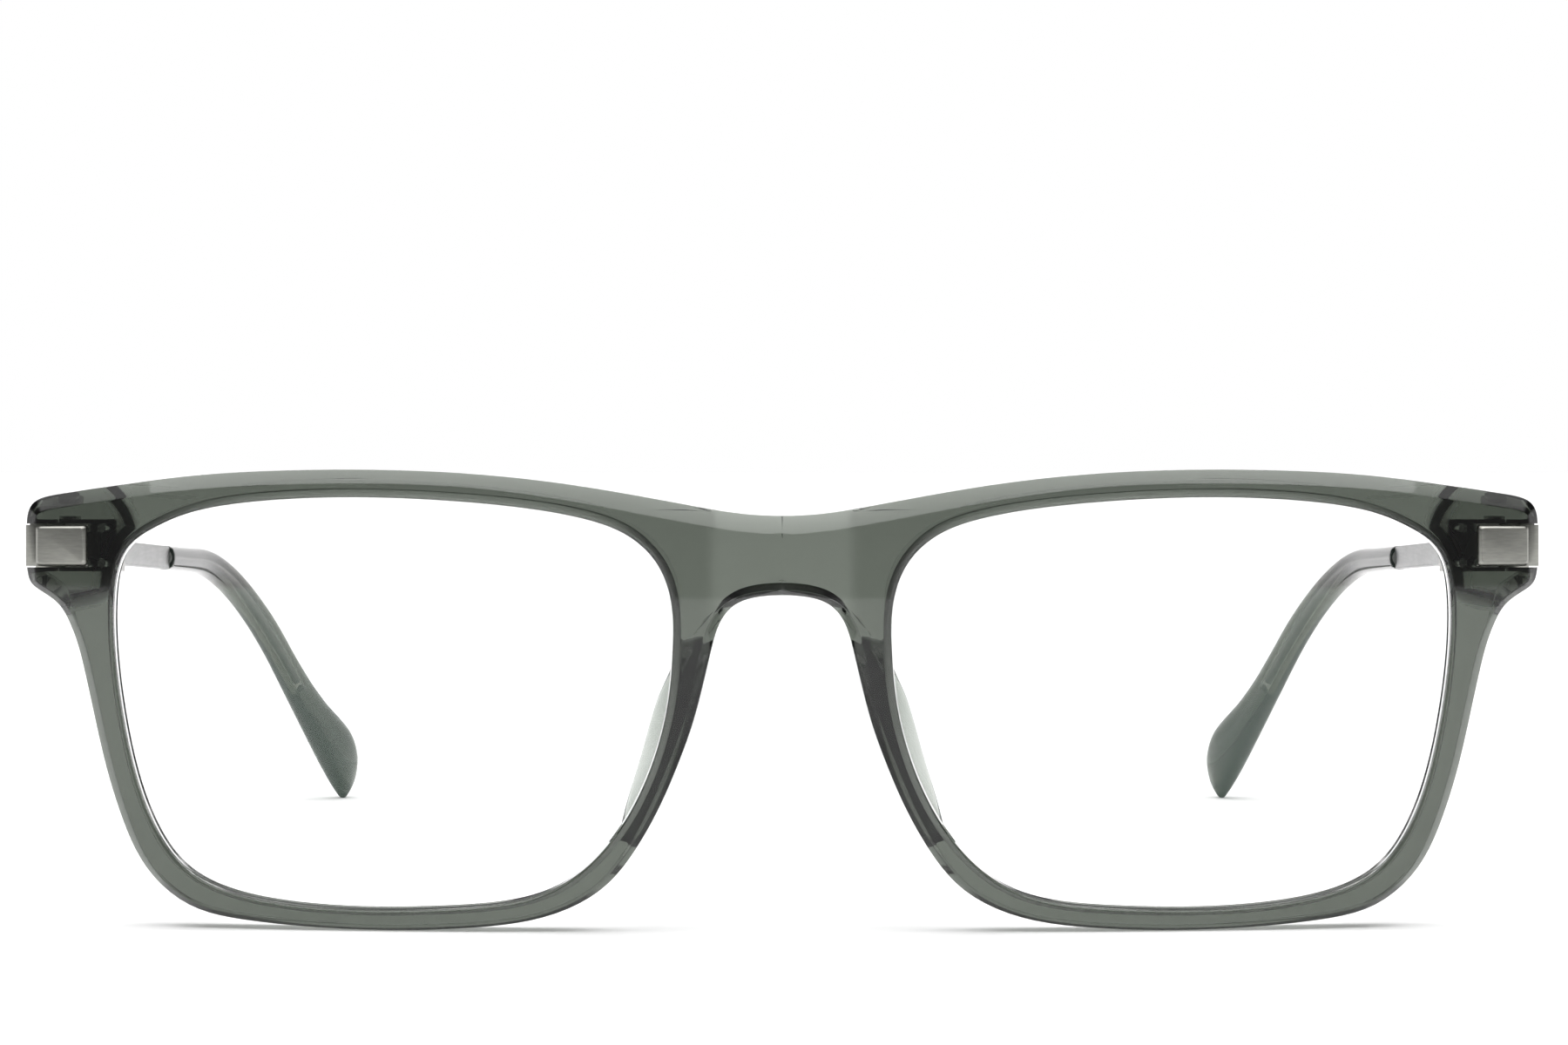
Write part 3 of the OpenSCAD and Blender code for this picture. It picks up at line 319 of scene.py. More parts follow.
def section(outer, n, width, t):
    """Section through the acetate at one station, as points of the front"""
    inner, m = opening(t), outwards(t)
    in_middle_plane = n.length == 0
    back = back_bevel(outer[0], n)
    wall_end = outer - WALL_DRAFT * max(0, n[1]) * n
    back_outer, back_inner = wall_end - back * n, inner + BACK_ROUND * m
    deep = back_depth(back_outer)
    top, foot = back_slope(back_outer, back_inner)
    plan = [(inner + EDGE_BREAK * m, 0), (outer - width * n, 0), (outer, BEVEL_DEPTH),
            (wall_end, deep - back), (back_outer, deep), top, foot, (back_inner, FRONT_T),
            (inner, FRONT_T - BACK_ROUND), (inner, GROOVE_AT + GROOVE_HALF),
            (inner + GROOVE_DEPTH * m, GROOVE_AT), (inner, GROOVE_AT - GROOVE_HALF), (inner, EDGE_BREAK)]
    radii = [0 if in_middle_plane and k in OUTER_CORNERS else r for k, r in enumerate(CORNER_RADII)]
    corners = [(Vector((p[0], p[1], depth)), r) for (p, depth), r in zip(plan, radii)]
    return [at_depth(*q) for q in rounded(corners, BETWEEN)]


# Placing: the front leans back on the surface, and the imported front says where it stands
def lean(p):
    return Matrix.Rotation(math.radians(FRONT_LEAN), 3, "X") @ p


SECTIONS = [section(*st) for st in stations()]
FRONT_LOW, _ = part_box("front_frame")
LEANED = [lean(p) for s in SECTIONS for p in s]
FRONT_AT = Vector((0, FRONT_LOW[1] / MM - min(p[1] for p in LEANED),
                   FRONT_LOW[2] / MM - min(p[2] for p in LEANED)))


def in_front(p):
    return lean(p) + FRONT_AT


def in_end_piece(p):
    """Places a point of the left end piece's own frame, which starts in the middle of the block's face"""
    turned = Matrix.Rotation(-END_TILT, 3, "X") @ Matrix.Rotation(END_TURN, 3, "Z") @ Vector(p)
    return in_front(turned + Vector((BLOCK_X, sag(BLOCK_X, BLOCK_Z), BLOCK_Z)))


# Making meshes

def make_mesh(name, points, faces, side="left", sharp=40, second=()):
    """A mesh object from points in millimetres. The right side is the mirror image of the left.
    The faces whose numbers are in second get the object's second material."""
    flip = -1 if side == "right" else 1
    bm = bmesh.new()
    verts = [bm.verts.new((flip * p[0] * MM, p[1] * MM, p[2] * MM)) for p in points]
    for k, f in enumerate(faces):
        face = bm.faces.new([verts[i] for i in (f if flip == 1 else reversed(f))])
        face.material_index = 1 if k in second else 0
    return finish_mesh(name, bm, sharp)


def finish_mesh(name, bm, sharp=40, merge=1e-7):
    bmesh.ops.remove_doubles(bm, verts=bm.verts, dist=merge)
    bmesh.ops.dissolve_degenerate(bm, edges=bm.edges, dist=merge)
    loose = [v for v in bm.verts if not v.link_faces]
    bmesh.ops.delete(bm, geom=loose, context="VERTS")
    bmesh.ops.recalc_face_normals(bm, faces=bm.faces)
    for face in bm.faces:
        face.smooth = True
    for edge in bm.edges:
        edge.smooth = len(edge.link_faces) == 2 and edge.calc_face_angle(0) < math.radians(sharp)
    mesh = bpy.data.meshes.new(name)
    bm.to_mesh(mesh)
    bm.free()
    obj = bpy.data.objects.new(name, mesh)
    bpy.context.scene.collection.objects.link(obj)
    return obj


def loft_faces(rings, sides, closed_ends=True, first=0):
    faces = [[first + j * sides + i, first + j * sides + (i + 1) % sides,
              first + (j + 1) * sides + (i + 1) % sides, first + (j + 1) * sides + i]
             for j in range(rings - 1) for i in range(sides)]
    if closed_ends:
        faces.append([first + i for i in reversed(range(sides))])
        faces.append([first + (rings - 1) * sides + i for i in range(sides)])
    return faces


def apply_modifiers(obj):
    dg = bpy.context.evaluated_depsgraph_get()
    mesh = bpy.data.meshes.new_from_object(obj.evaluated_get(dg))
    obj.modifiers.clear()
    obj.data = mesh


def cut(obj, cutters):
    """Takes the cutters out of obj, and marks the sharp edges again."""
    for cutter in cutters:
        m = obj.modifiers.new("cut", "BOOLEAN")
        m.operation, m.solver, m.object = "DIFFERENCE", "EXACT", cutter
    apply_modifiers(obj)
    for cutter in cutters:
        bpy.data.objects.remove(cutter)
    bm = bmesh.new()
    bm.from_mesh(obj.data)
    name = obj.name
    bpy.data.objects.remove(obj)
    return finish_mesh(name, bm)


def prism(outline, low, high, place, name="prism", side="left"):
    """Solid on an outline of x and y, from low to high, put in place by a function"""
    n = len(outline)
    points = [place((x, y, z)) for z in (low, high) for x, y in outline]
    return make_mesh(name, points, loft_faces(2, n), side, 30)


def join(name, parts, bevel, sharp=30):
    """One solid from several, with small rounded edges"""
    first = parts[0]
    for other in parts[1:]:
        m = first.modifiers.new("join", "BOOLEAN")
        m.operation, m.solver, m.object = "UNION", "EXACT", other
    m = first.modifiers.new("edges", "BEVEL")
    m.width, m.segments, m.limit_method, m.angle_limit = bevel * MM, 3, "ANGLE", math.radians(sharp)
    apply_modifiers(first)
    for other in parts[1:]:
        bpy.data.objects.remove(other)
    bm = bmesh.new()
    bm.from_mesh(first.data)
    bpy.data.objects.remove(first)
    return finish_mesh(name, bm)


# Materials

def new_material(name):
    mat = bpy.data.materials.new(name)
    mat.use_nodes = True
    nodes, links = mat.node_tree.nodes, mat.node_tree.links
    shader = nodes["Principled BSDF"]
    place = nodes.new("ShaderNodeTexCoord").outputs["Object"]
    return mat, nodes, links, shader, place


def noise(nodes, links, place, scale, detail=3, stretch=(1, 1, 1), seed=0):
    """Noise of scale waves per metre"""
    spread = nodes.new("ShaderNodeMapping")
    spread.inputs["Scale"].default_value = stretch
    spread.inputs["Location"].default_value = (seed, seed, seed)
    links.new(place, spread.inputs["Vector"])
    tex = nodes.new("ShaderNodeTexNoise")
    tex.inputs["Scale"].default_value = scale
    tex.inputs["Detail"].default_value = detail
    links.new(spread.outputs["Vector"], tex.inputs["Vector"])
    return tex.outputs["Fac"]


# Noise seldom leaves this range, so it carries all of a change of colour
NOISE_RANGE = (0.3, 0.7)


def add_colour(nodes, links, shader, factor, low, high):
    band = nodes.new("ShaderNodeValToRGB")
    for stop, position, colour in zip(band.color_ramp.elements, NOISE_RANGE, (low, high)):
        stop.position = position
        stop.color = (*colour, 1)
    links.new(factor, band.inputs["Fac"])
    links.new(band.outputs["Color"], shader.inputs["Base Color"])


def spread_to(nodes, links, factor, low, high):
    m = nodes.new("ShaderNodeMapRange")
    m.inputs["To Min"].default_value, m.inputs["To Max"].default_value = low, high
    links.new(factor, m.inputs["Value"])
    return m.outputs["Result"]


def add_roughness(nodes, links, shader, factor, low, high):
    links.new(spread_to(nodes, links, factor, low, high), shader.inputs["Roughness"])


def add_bump(nodes, links, shader, factor, depth):
    bump = nodes.new("ShaderNodeBump")
    bump.inputs["Strength"].default_value = 1
    bump.inputs["Distance"].default_value = depth
    links.new(factor, bump.inputs["Height"])
    links.new(bump.outputs["Normal"], shader.inputs["Normal"])


ACETATE_IOR, LENS_IOR = 1.49, 1.5
POLISH_SPREAD, RIPPLE_DEPTH, GRIT_DEPTH, MOULD_DEPTH = 0.03, 0.000004, 0.00001, 0.000005
# The strongest absorption leaves this much less than white of the volume's colour
VOLUME_SHARE = 0.9


def acetate(name, absorbed, roughness=0.02, milled=0.0):
    """Polished see-through acetate. absorbed is how much light it takes per metre in red, green and blue.
    milled is how much rougher it is where it is only milled: in the lens groove, and less so on the boss."""
    mat, nodes, links, shader, place = new_material(name)
    shader.inputs["Transmission Weight"].default_value = 1
    shader.inputs["IOR"].default_value = ACETATE_IOR
    cloudy = noise(nodes, links, place, 70, 4, (1, 2.5, 1))
    add_colour(nodes, links, shader, cloudy, (0.95, 0.96, 0.95), (1, 1, 1))
    polish = noise(nodes, links, place, 260, 5, seed=3)
    polished = spread_to(nodes, links, polish, roughness, roughness + POLISH_SPREAD)
    groove = nodes.new("ShaderNodeAttribute")
    groove.attribute_name = "milled"
    rough = nodes.new("ShaderNodeMath")
    rough.operation = "MULTIPLY_ADD"
    rough.inputs[1].default_value = milled
    links.new(groove.outputs["Fac"], rough.inputs[0])
    links.new(polished, rough.inputs[2])
    links.new(rough.outputs["Value"], shader.inputs["Roughness"])
    add_bump(nodes, links, shader, noise(nodes, links, place, 130, 2, seed=7), RIPPLE_DEPTH)
    most = max(absorbed)
    volume = nodes.new("ShaderNodeVolumeAbsorption")
    volume.inputs["Color"].default_value = (*(1 - VOLUME_SHARE * a / most for a in absorbed), 1)
    volume.inputs["Density"].default_value = most / VOLUME_SHARE
    links.new(volume.outputs["Volume"], nodes["Material Output"].inputs["Volume"])
    return mat


def clear_lens(name):
    """Coated lens: clear, lets lamps through, with a faint green glint where it is seen at a slant"""
    mat, nodes, links, shader, place = new_material(name)
    shader.inputs["Transmission Weight"].default_value = 1
    shader.inputs["IOR"].default_value = LENS_IOR
    shader.inputs["Roughness"].default_value = 0
    shader.inputs["Specular Tint"].default_value = (0.55, 0.75, 0.62, 1)
    coating = noise(nodes, links, place, 40, 2)
    add_colour(nodes, links, shader, coating, (0.985, 0.992, 0.988), (1, 1, 1))
    path = nodes.new("ShaderNodeLightPath")
    through = nodes.new("ShaderNodeBsdfTransparent")
    mixed = nodes.new("ShaderNodeMixShader")
    links.new(path.outputs["Is Shadow Ray"], mixed.inputs["Fac"])
    links.new(shader.outputs["BSDF"], mixed.inputs[1])
    links.new(through.outputs["BSDF"], mixed.inputs[2])
    links.new(mixed.outputs["Shader"], nodes["Material Output"].inputs["Surface"])
    return mat


def satin_metal(name, dark, light, rough, stretch, grain=900, depth=0.000003):
    """Metal with a fine brushed grain"""
    mat, nodes, links, shader, place = new_material(name)
    shader.inputs["Metallic"].default_value = 1
    lines = noise(nodes, links, place, grain, 4, stretch)
    add_colour(nodes, links, shader, lines, dark, light)
    wear = noise(nodes, links, place, 400, seed=5)
    add_roughness(nodes, links, shader, wear, rough * 0.8, rough * 1.25)
    add_bump(nodes, links, shader, lines, depth)
    return mat


def ground_glass(name):
    """Ground edge of a lens: white and dull, where it sits in the groove"""
    mat, nodes, links, shader, place = new_material(name)
    grit = noise(nodes, links, place, 2500)
    add_colour(nodes, links, shader, grit, (0.84, 0.86, 0.84), (0.92, 0.93, 0.92))
    add_roughness(nodes, links, shader, grit, 0.6, 0.8)
    add_bump(nodes, links, shader, grit, GRIT_DEPTH)
    return mat


def nylon(name):
    """Natural nylon, as moulded"""
    mat, nodes, links, shader, place = new_material(name)
    spots = noise(nodes, links, place, 900)
    add_colour(nodes, links, shader, spots, (0.62, 0.61, 0.57), (0.72, 0.71, 0.68))
    add_roughness(nodes, links, shader, spots, 0.4, 0.5)
    add_bump(nodes, links, shader, spots, MOULD_DEPTH)
    return mat


FLOOR_GLOW = 0.1


def white_floor(name):
    """White table with a faint light of its own, so the contact shadows are as pale as in the photograph"""
    mat, nodes, links, shader, place = new_material(name)
    grain = noise(nodes, links, place, 3, 2)
    add_colour(nodes, links, shader, grain, (0.95, 0.95, 0.95), (0.97, 0.97, 0.97))
    shader.inputs["Roughness"].default_value = 0.9
    shader.inputs["Specular IOR Level"].default_value = 0.1
    shader.inputs["Emission Color"].default_value = (1, 1, 1, 1)
    shader.inputs["Emission Strength"].default_value = FLOOR_GLOW
    return mat


# Light taken per metre in red, green and blue: the thin tips are dyed deeper than the front
FRONT_ABSORBS, TIP_ABSORBS = (574, 543, 586), (1230, 1220, 1320)
FRONT_ACETATE = acetate("grey_green_acetate", FRONT_ABSORBS, milled=0.55)
TIP_ACETATE = acetate("tip_acetate", TIP_ABSORBS, 0.06)
PAD_ACETATE = acetate("pad_acetate", [a * 1.4 for a in FRONT_ABSORBS], 0.1)
LENS_GLASS = clear_lens("clear_lens")
GROUND_EDGE = ground_glass("ground_lens_edge")
BLOCK_METAL = satin_metal("block_metal", (0.28, 0.28, 0.26), (0.34, 0.34, 0.31), 0.34, (1, 1, 6))
BAR_METAL = satin_metal("bar_metal", (0.27, 0.27, 0.27), (0.34, 0.34, 0.34), 0.3, (4, 0.3, 4))
HINGE_METAL = satin_metal("hinge_metal", (0.48, 0.47, 0.46), (0.6, 0.59, 0.58), 0.35, (1, 1, 1))
SCREW_METAL = satin_metal("screw_metal", (0.45, 0.45, 0.44), (0.56, 0.56, 0.54), 0.25, (1, 1, 1))
WASHER_NYLON = nylon("washer_nylon")


def dress(obj, material, body, node):
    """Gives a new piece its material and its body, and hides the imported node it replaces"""
    obj.data.materials.clear()
    obj.data.materials.append(material)
    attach(obj, body)
    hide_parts(node)


# The front: one half from its sections, mirrored, with the notches and screw holes cut

def box_at(low, high, place, side):
    outline = [(low[0], low[1]), (high[0], low[1]), (high[0], high[1]), (low[0], high[1])]
    return prism(outline, low[2], high[2], place, "box", side)


FACE_W = BLOCK_FACE_W / math.cos(END_TURN)
NOTCH_H = BLOCK_H + 2 * BLOCK_GAP
NOTCH_INNER = -FACE_W / 2 - BLOCK_GAP
HOLE_SIDES, HOLE_RUN_OUT = 24, 4


def screw_hole(up, side):
    """Cutter for the hole of a leaf screw: up is 1 for the upper one and -1 for the lower"""
    radius, length = LEAF_SCREW_R + SCREW_FIT, LEAF_SCREW_L + HOLE_RUN_OUT
    x, y, z = NOTCH_INNER - LEAF_SCREW_INSET, END_T - LEAF_SCREW_L - HOLE_SPARE, up * LEAF_SCREW_PITCH / 2
    turns = [math.tau * i / HOLE_SIDES for i in range(HOLE_SIDES)]
    ring = [(radius * math.cos(q), radius * math.sin(q)) for q in turns]
    points = [in_end_piece((x + a, y + d, z + b)) for d in (0, length) for a, b in ring]
    return make_mesh("cutter", points, loft_faces(2, HOLE_SIDES), side)


def make_front():
    ring = len(SECTIONS[0])
    count = len(SECTIONS)
    bm = bmesh.new()
    milled = bm.verts.layers.float.new("milled")
    for flip in (1, -1):
        verts = []
        for s in SECTIONS:
            back = s[corner_id(BACK_OUTER)]
            on_boss = SLOPE_FINISH if boss_share(Vector((back[0], back[2]))) > 0 else 0
            for k, p in enumerate(s):
                vert = bm.verts.new(in_front(Vector((p[0] * flip, p[1], p[2]))) * MM)
                vert[milled] = 1 if k in GROOVE_IDS else on_boss if k in SLOPE_IDS else 0
                verts.append(vert)
        for j in range(count):
            for k in range(ring):
                ids = [j * ring + k, (j + 1) % count * ring + k, (j + 1) % count * ring + (k + 1) % ring,
                       j * ring + (k + 1) % ring]
                if all(abs(verts[i].co.x) < 1e-9 for i in ids):
                    continue
                bm.faces.new([verts[i] for i in (ids if flip == 1 else reversed(ids))])
    blank = finish_mesh("acetate_front", bm, 40, 1e-6)
    cutters = []
    notch = ((NOTCH_INNER, -FRONT_T, -NOTCH_H / 2), (2 * END_REACH, 3 * FRONT_T, NOTCH_H / 2))
    for side in ("left", "right"):
        cutters.append(box_at(*notch, in_end_piece, side))
        cutters += [screw_hole(up, side) for up in (-1, 1)]
    dress(cut(blank, cutters), FRONT_ACETATE, "front", "front_frame")


# Lenses

LENS_STEPS = 6
LENS_RING_SHARES = [0.2, 0.4, 0.6, 0.8, 0.93]
LENS_FACE = GROOVE_AT - LENS_T / 2
LENS_BEVEL = GROOVE_HALF - LENS_GAP - 0.1
# The sharp edges of the faces are eased: this far inwards and this far back
LENS_EDGE_IN, LENS_EDGE_BACK = 0.02, 0.03


def make_lens(side):
    """Rings from the middle of the front face out to the bevelled edge and in again over the back face"""
    shares = LENS_RING_SHARES
    count = TURNS * LENS_STEPS

    def ring(share, spread, depth):
        found = []
        for i in range(count):
            t = i / LENS_STEPS
            edge = opening(t) + spread * outwards(t)
            found.append(in_front(at_depth(mix(EYE_X, edge[0], share), mix(EYE_Z, edge[1], share), depth)))
        return found

    back = LENS_FACE + LENS_T
    rings = [ring(f, 0, LENS_FACE) for f in shares]
    edge = [ring(1, -LENS_GAP - LENS_EDGE_IN, LENS_FACE), ring(1, -LENS_GAP, LENS_FACE + LENS_EDGE_BACK),
            ring(1, -LENS_GAP, GROOVE_AT - LENS_BEVEL), ring(1, GROOVE_DEPTH - LENS_GAP, GROOVE_AT),
            ring(1, -LENS_GAP, GROOVE_AT + LENS_BEVEL), ring(1, -LENS_GAP, back - LENS_EDGE_BACK),
            ring(1, -LENS_GAP - LENS_EDGE_IN, back)]
    rings += edge
    rings += [ring(f, 0, back) for f in reversed(shares)]
    points = [p for r in rings for p in r]
    poles = len(points)
    points += [in_front(at_depth(EYE_X, EYE_Z, LENS_FACE)), in_front(at_depth(EYE_X, EYE_Z, back))]
    faces = loft_faces(len(rings), count, False)
    last = (len(rings) - 1) * count
    faces += [[poles, (i + 1) % count, i] for i in range(count)]
    faces += [[poles + 1, last + i, last + (i + 1) % count] for i in range(count)]
    edge_bands = range(len(shares) * count, (len(shares) + len(edge) - 1) * count)
    lens = make_mesh(f"clear_lens_{side}", points, faces, side, 25, edge_bands)
    dress(lens, LENS_GLASS, "front", f"lens_{side}")
    lens.data.materials.append(GROUND_EDGE)


# Nose pads

PAD_SPAN = ((3.6, 3.85), (8, 7.8))
PAD_RINGS = 40
PAD_END_SHARES, PAD_FULLNESS, PAD_LENS_SHARE, PAD_CROWN, PAD_HOLLOW = (0.4, 0.1), 0.65, 0.93, 0.06, 0.04
PAD_RADII, PAD_BETWEEN = [0.1, 0.1, 0.6, 0.5, 0.5, 0.5, 0.6], [2, 1, 1, 0, 0, 1, 1]
BACKWARDS = Vector((0, 1, 0))


def splayed(start, reach, splay, away):
    """The end of a line from start, that goes back and turns away from the nose by splay"""
    return start + reach * (math.cos(splay) * BACKWARDS + math.sin(splay) * away)


def pad_ring(f):
    """Outline of the pad at f, from 0 at its upper end to 1 at its lower end"""
    s, t = mix(PAD_SPAN[0][0], PAD_SPAN[1][0], f), mix(PAD_SPAN[0][1], PAD_SPAN[1][1], f)
    reach = PAD_REACH * max(mix(*PAD_END_SHARES, f), math.sin(math.pi * f) ** PAD_FULLNESS)
    n = edge_normal(s)
    e = edge_at(s).xy - back_bevel(edge_at(s)[0], n) * n
    i = opening(t) + BACK_ROUND * outwards(t)
    outer, inner = at_depth(*e, FRONT_T + BOND_T), at_depth(*i, FRONT_T + BOND_T)
    away = Vector((inner[0] - outer[0], 0, inner[2] - outer[2])).normalized()
    nose_edge = splayed(outer, reach, PAD_SPLAY, away)
    lens_edge = splayed(inner, PAD_LENS_SHARE * reach, PAD_LENS_SPLAY, away)
    crown = mix(nose_edge, lens_edge, 0.5) + PAD_CROWN * reach * BACKWARDS
    hollow = mix(outer, nose_edge, 0.5) - PAD_HOLLOW * reach * away
    corners = [outer, inner, mix(inner, lens_edge, 0.5), lens_edge, crown, nose_edge, hollow]
    return [in_front(p) for p in rounded(list(zip(corners, PAD_RADII)), PAD_BETWEEN)]


def make_pad(side):
    rings = [pad_ring(i / PAD_RINGS) for i in range(PAD_RINGS + 1)]
    faces = loft_faces(len(rings), len(rings[0]))
    pad = make_mesh(f"acetate_pad_{side}", [p for r in rings for p in r], faces, side, 50)
    dress(pad, PAD_ACETATE, "front", f"nose_pad_{side}")


# End blocks: a bright bevelled face, a body that fills the notch, and an arm back to the temple

def in_temple_frame(hinge, slope):
    """Places a point of the left temple's own frame, which starts on the hinge axis"""
    turn = Matrix.Rotation(-slope, 3, "X")
    return lambda p: turn @ Vector(p) + hinge


HINGE = Vector(next(j["pos_m"] for j in frame["joints"] if j["name"] == "fold_left")) / MM
HINGE_PAST_BLOCK = HALF_W - HINGE_INSET - BLOCK_X
PLATE_DEPTH = HINGE_PAST_BLOCK * math.tan(END_TURN) + (END_T + PLATE_SEAT + PLATE_T) / math.cos(END_TURN)
PLATE_END = (HINGE_PAST_BLOCK * math.cos(END_TURN)
             + (PLATE_DEPTH + KNUCKLE_R + KNUCKLE_ROOM) * math.sin(END_TURN))
BODY_CORNER_R, BLOCK_EDGE, FACE_CORNER_R, FACE_CORNER_STEPS = 0.7, 0.1, 0.45, 4


def round_corners(a, b, r, steps):
    """Rectangle from -a to a and -b to b with rounded corners"""
    outline = []
    for k, (sx, sz) in enumerate(((1, 1), (-1, 1), (-1, -1), (1, -1))):
        for i in range(steps + 1):
            q = (k + i / steps) * math.pi / 2
            outline.append((sx * (a - r) + r * math.cos(q), sz * (b - r) + r * math.sin(q)))
    return outline


def make_face(side):
    """Bright face of an end block, with rounded corners and a bevel all round"""
    points = []
    for inset, y in ((FACE_BEVEL, -BLOCK_PROUD), (0, FACE_BEVEL - BLOCK_PROUD), (0, FACE_DEEP)):
        r = FACE_CORNER_R - 0.5 * inset
        outline = round_corners(FACE_W / 2 - inset, BLOCK_H / 2 - inset, r, FACE_CORNER_STEPS)
        points += [in_end_piece((x, y, z)) for x, z in outline]
    return make_mesh("face", points, loft_faces(3, len(outline)), side, 30)


def make_block(side, in_temple):
    """Face, body round the corner, flange behind the notch and arm back to the temple, as one solid"""
    up = BLOCK_H / 2
    inner_x, side_x = -FACE_W / 2, (BLOCK_INSET + WRAP_PROUD) / math.cos(END_TURN)
    back_x = side_x + math.sin(END_TURN - WALL_TURN) * END_T
    corner = [(side_x - BODY_CORNER_R, STEP_Y + 0.1), (side_x - 0.2, STEP_Y + 0.3),
              (side_x, STEP_Y + BODY_CORNER_R)]
    outline = [(inner_x, STEP_Y), *corner, (back_x, END_T + ARM_ROOT), (back_x - ARM_T, END_T + ARM_ROOT),
               (back_x - ARM_T, END_T), (inner_x, END_T)]
    body = prism(outline, -up, up, in_end_piece, "body", side)
    flange_y, cover = END_T + PLATE_SEAT, NOTCH_H / 2 + FLANGE_OVER
    flange = box_at((PLATE_END + FLANGE_GAP, flange_y, -cover),
                    (back_x - FLANGE_INSET, flange_y + FLANGE_T, cover), in_end_piece, side)
    boss_top = in_front(Vector((BLOCK_X, sag(HALF_W, BLOCK_Z) + FRONT_T + BOSS_T, BLOCK_Z)))
    arm_back = HINGE[1] - boss_top[1] + ARM_OVERLAP
    arm_x = HINGE_INSET + WRAP_PROUD - ARM_OVERLAP
    arm = box_at((arm_x - ARM_T, BUTT_Y - arm_back, -up), (arm_x, BUTT_Y - BUTT_GAP, up), in_temple, side)
    block = join(f"metal_block_{side}", [body, make_face(side), arm, flange], BLOCK_EDGE)
    dress(block, BLOCK_METAL, "front", f"end_block_{side}")


# Temples: the route of one temple in its own frame, from the hinge axis back along y

BAR_OUTER_X = HINGE_INSET - 0.25
PLATE_RUN, BAR_TURN_L = PLATE_L + 2, 12
BEND_START, CURL_AHEAD = BAR_L + EAR_REACH, 2
ROUTE_COUNT = math.ceil((BAR_L + TIP_L) / 2)
ROUTE_UNIT = (BAR_L + TIP_L) / ROUTE_COUNT


def heading(s):
    """Direction of the route at the length s along it"""
    curl_start = BEND_START - CURL_AHEAD
    turn = math.radians(BAR_TURN * ramp(s, PLATE_RUN, PLATE_RUN + BAR_TURN_L)
                        + EAR_CURL * ramp(s, curl_start, curl_start + EAR_BEND_L))
    drop = math.radians(EAR_BEND * ramp(s, BEND_START, BEND_START + EAR_BEND_L))
    return Vector((-math.sin(turn) * math.cos(drop), math.cos(turn) * math.cos(drop), -math.sin(drop)))


def temple_route():
    route = [Vector((BAR_OUTER_X - BAR_T / 2, 0, 0))]
    for i in range(ROUTE_COUNT):
        route.append(route[-1] + ROUTE_UNIT * heading((i + 0.5) * ROUTE_UNIT))
    return route


ROUTE = temple_route()


def route_at(s):
    i = min(ROUTE_COUNT - 1, max(0, math.floor(s / ROUTE_UNIT)))
    return ROUTE[i] + (s - i * ROUTE_UNIT) * heading(mix(i * ROUTE_UNIT, s, 0.5))


def across_route(s, outline):
    """An outline of x and z placed across the route at the length s along it"""
    c, d = route_at(s), heading(s)
    across = Vector((d[1], -d[0], 0)).normalized()
    up = across.cross(d)
    return [c + x * across + z * up for x, z in outline]


def ring_at(s, a, b, sides, power, lift=0):
    """Oval of half width a and half height b. A power below 1 makes it squarer."""
    outline = []
    for i in range(sides):
        q = (i + 0.5) * math.tau / sides
        x, z = math.cos(q), math.sin(q)
        x, z = math.copysign(abs(x) ** power, x), math.copysign(abs(z) ** power, z)
        outline.append((a * x, b * z + lift))
    return across_route(s, outline)


# Width and height of the tip along its length, as shares of its front end, from there to its point
TIP_FORM = [(0, 1, 1), (10, 1.02, 1), (19, 1.04, 1.06), (30, 1.05, 1.2), (42, 1.06, 1.28), (52, 1.14, 1.4),
            (57, 1.3, 1.66), (61, 1.48, 2.08), (63, 1.54, 2.24), (65, 1.48, 2.2), (66.5, 1.32, 1.96),
            (67.8, 1, 1.5), (68.6, 0.64, 1), (69, 0.24, 0.38)]
SWELL_FROM, SWELL_TO, SWELL_FORM, POINT_FORM, TIP_POWER = 42, 56, 1.42, 0.6, 0.8
FORM_L = TIP_FORM[-1][0]


def form_at(s, k):
    """Smooth value between the rows of TIP_FORM"""
    n = len(TIP_FORM)
    i = next((i for i in range(n - 1) if s <= TIP_FORM[i + 1][0]), n - 2)
    rows = [TIP_FORM[min(n - 1, max(0, i + j))] for j in (-1, 0, 1, 2)]
    (s0, v0), (s1, v1), (s2, v2), (s3, v3) = [(r[0], r[k]) for r in rows]
    f = (s - s1) / (s2 - s1)
    m1 = (v2 - v0) / max(s2 - s0, 1e-6) * (s2 - s1)
    m2 = (v3 - v1) / max(s3 - s1, 1e-6) * (s2 - s1)
    return ((2 * f ** 3 - 3 * f * f + 1) * v1 + (f ** 3 - 2 * f * f + f) * m1
            + (3 * f * f - 2 * f ** 3) * v2 + (f ** 3 - f * f) * m2)


def tip_ring(s, sides, shrink=1.0):
    """Section of the tip at the length s from its front end. The paddle swells upwards only."""
    lift = ramp(s, SWELL_FROM, SWELL_TO) * (max(POINT_FORM, form_at(s, 2)) - SWELL_FORM) * TIP_H / 2
    return ring_at(BAR_L + s, shrink * form_at(s, 1) * TIP_W / 2, shrink * form_at(s, 2) * TIP_H / 2,
                   sides, TIP_POWER, lift)


def temple_slope():
    """The temple hangs down until its tip touches the surface"""
    angles = []
    for i in range(TIP_L + 1):
        for p in tip_ring(i * FORM_L / TIP_L, 16):
            if p[1] > BAR_L:
                angles.append(math.asin(HINGE[2] / math.hypot(p[1], p[2])) + math.atan2(p[2], p[1]))
    return min(angles)


TIP_SIDES, BORE_SPARE = 32, 1
# Where the front end of the tip is eased, and how much smaller it is there
TIP_EASE = {0: 0.95, 0.06: 0.985, 0.16: 1.0}


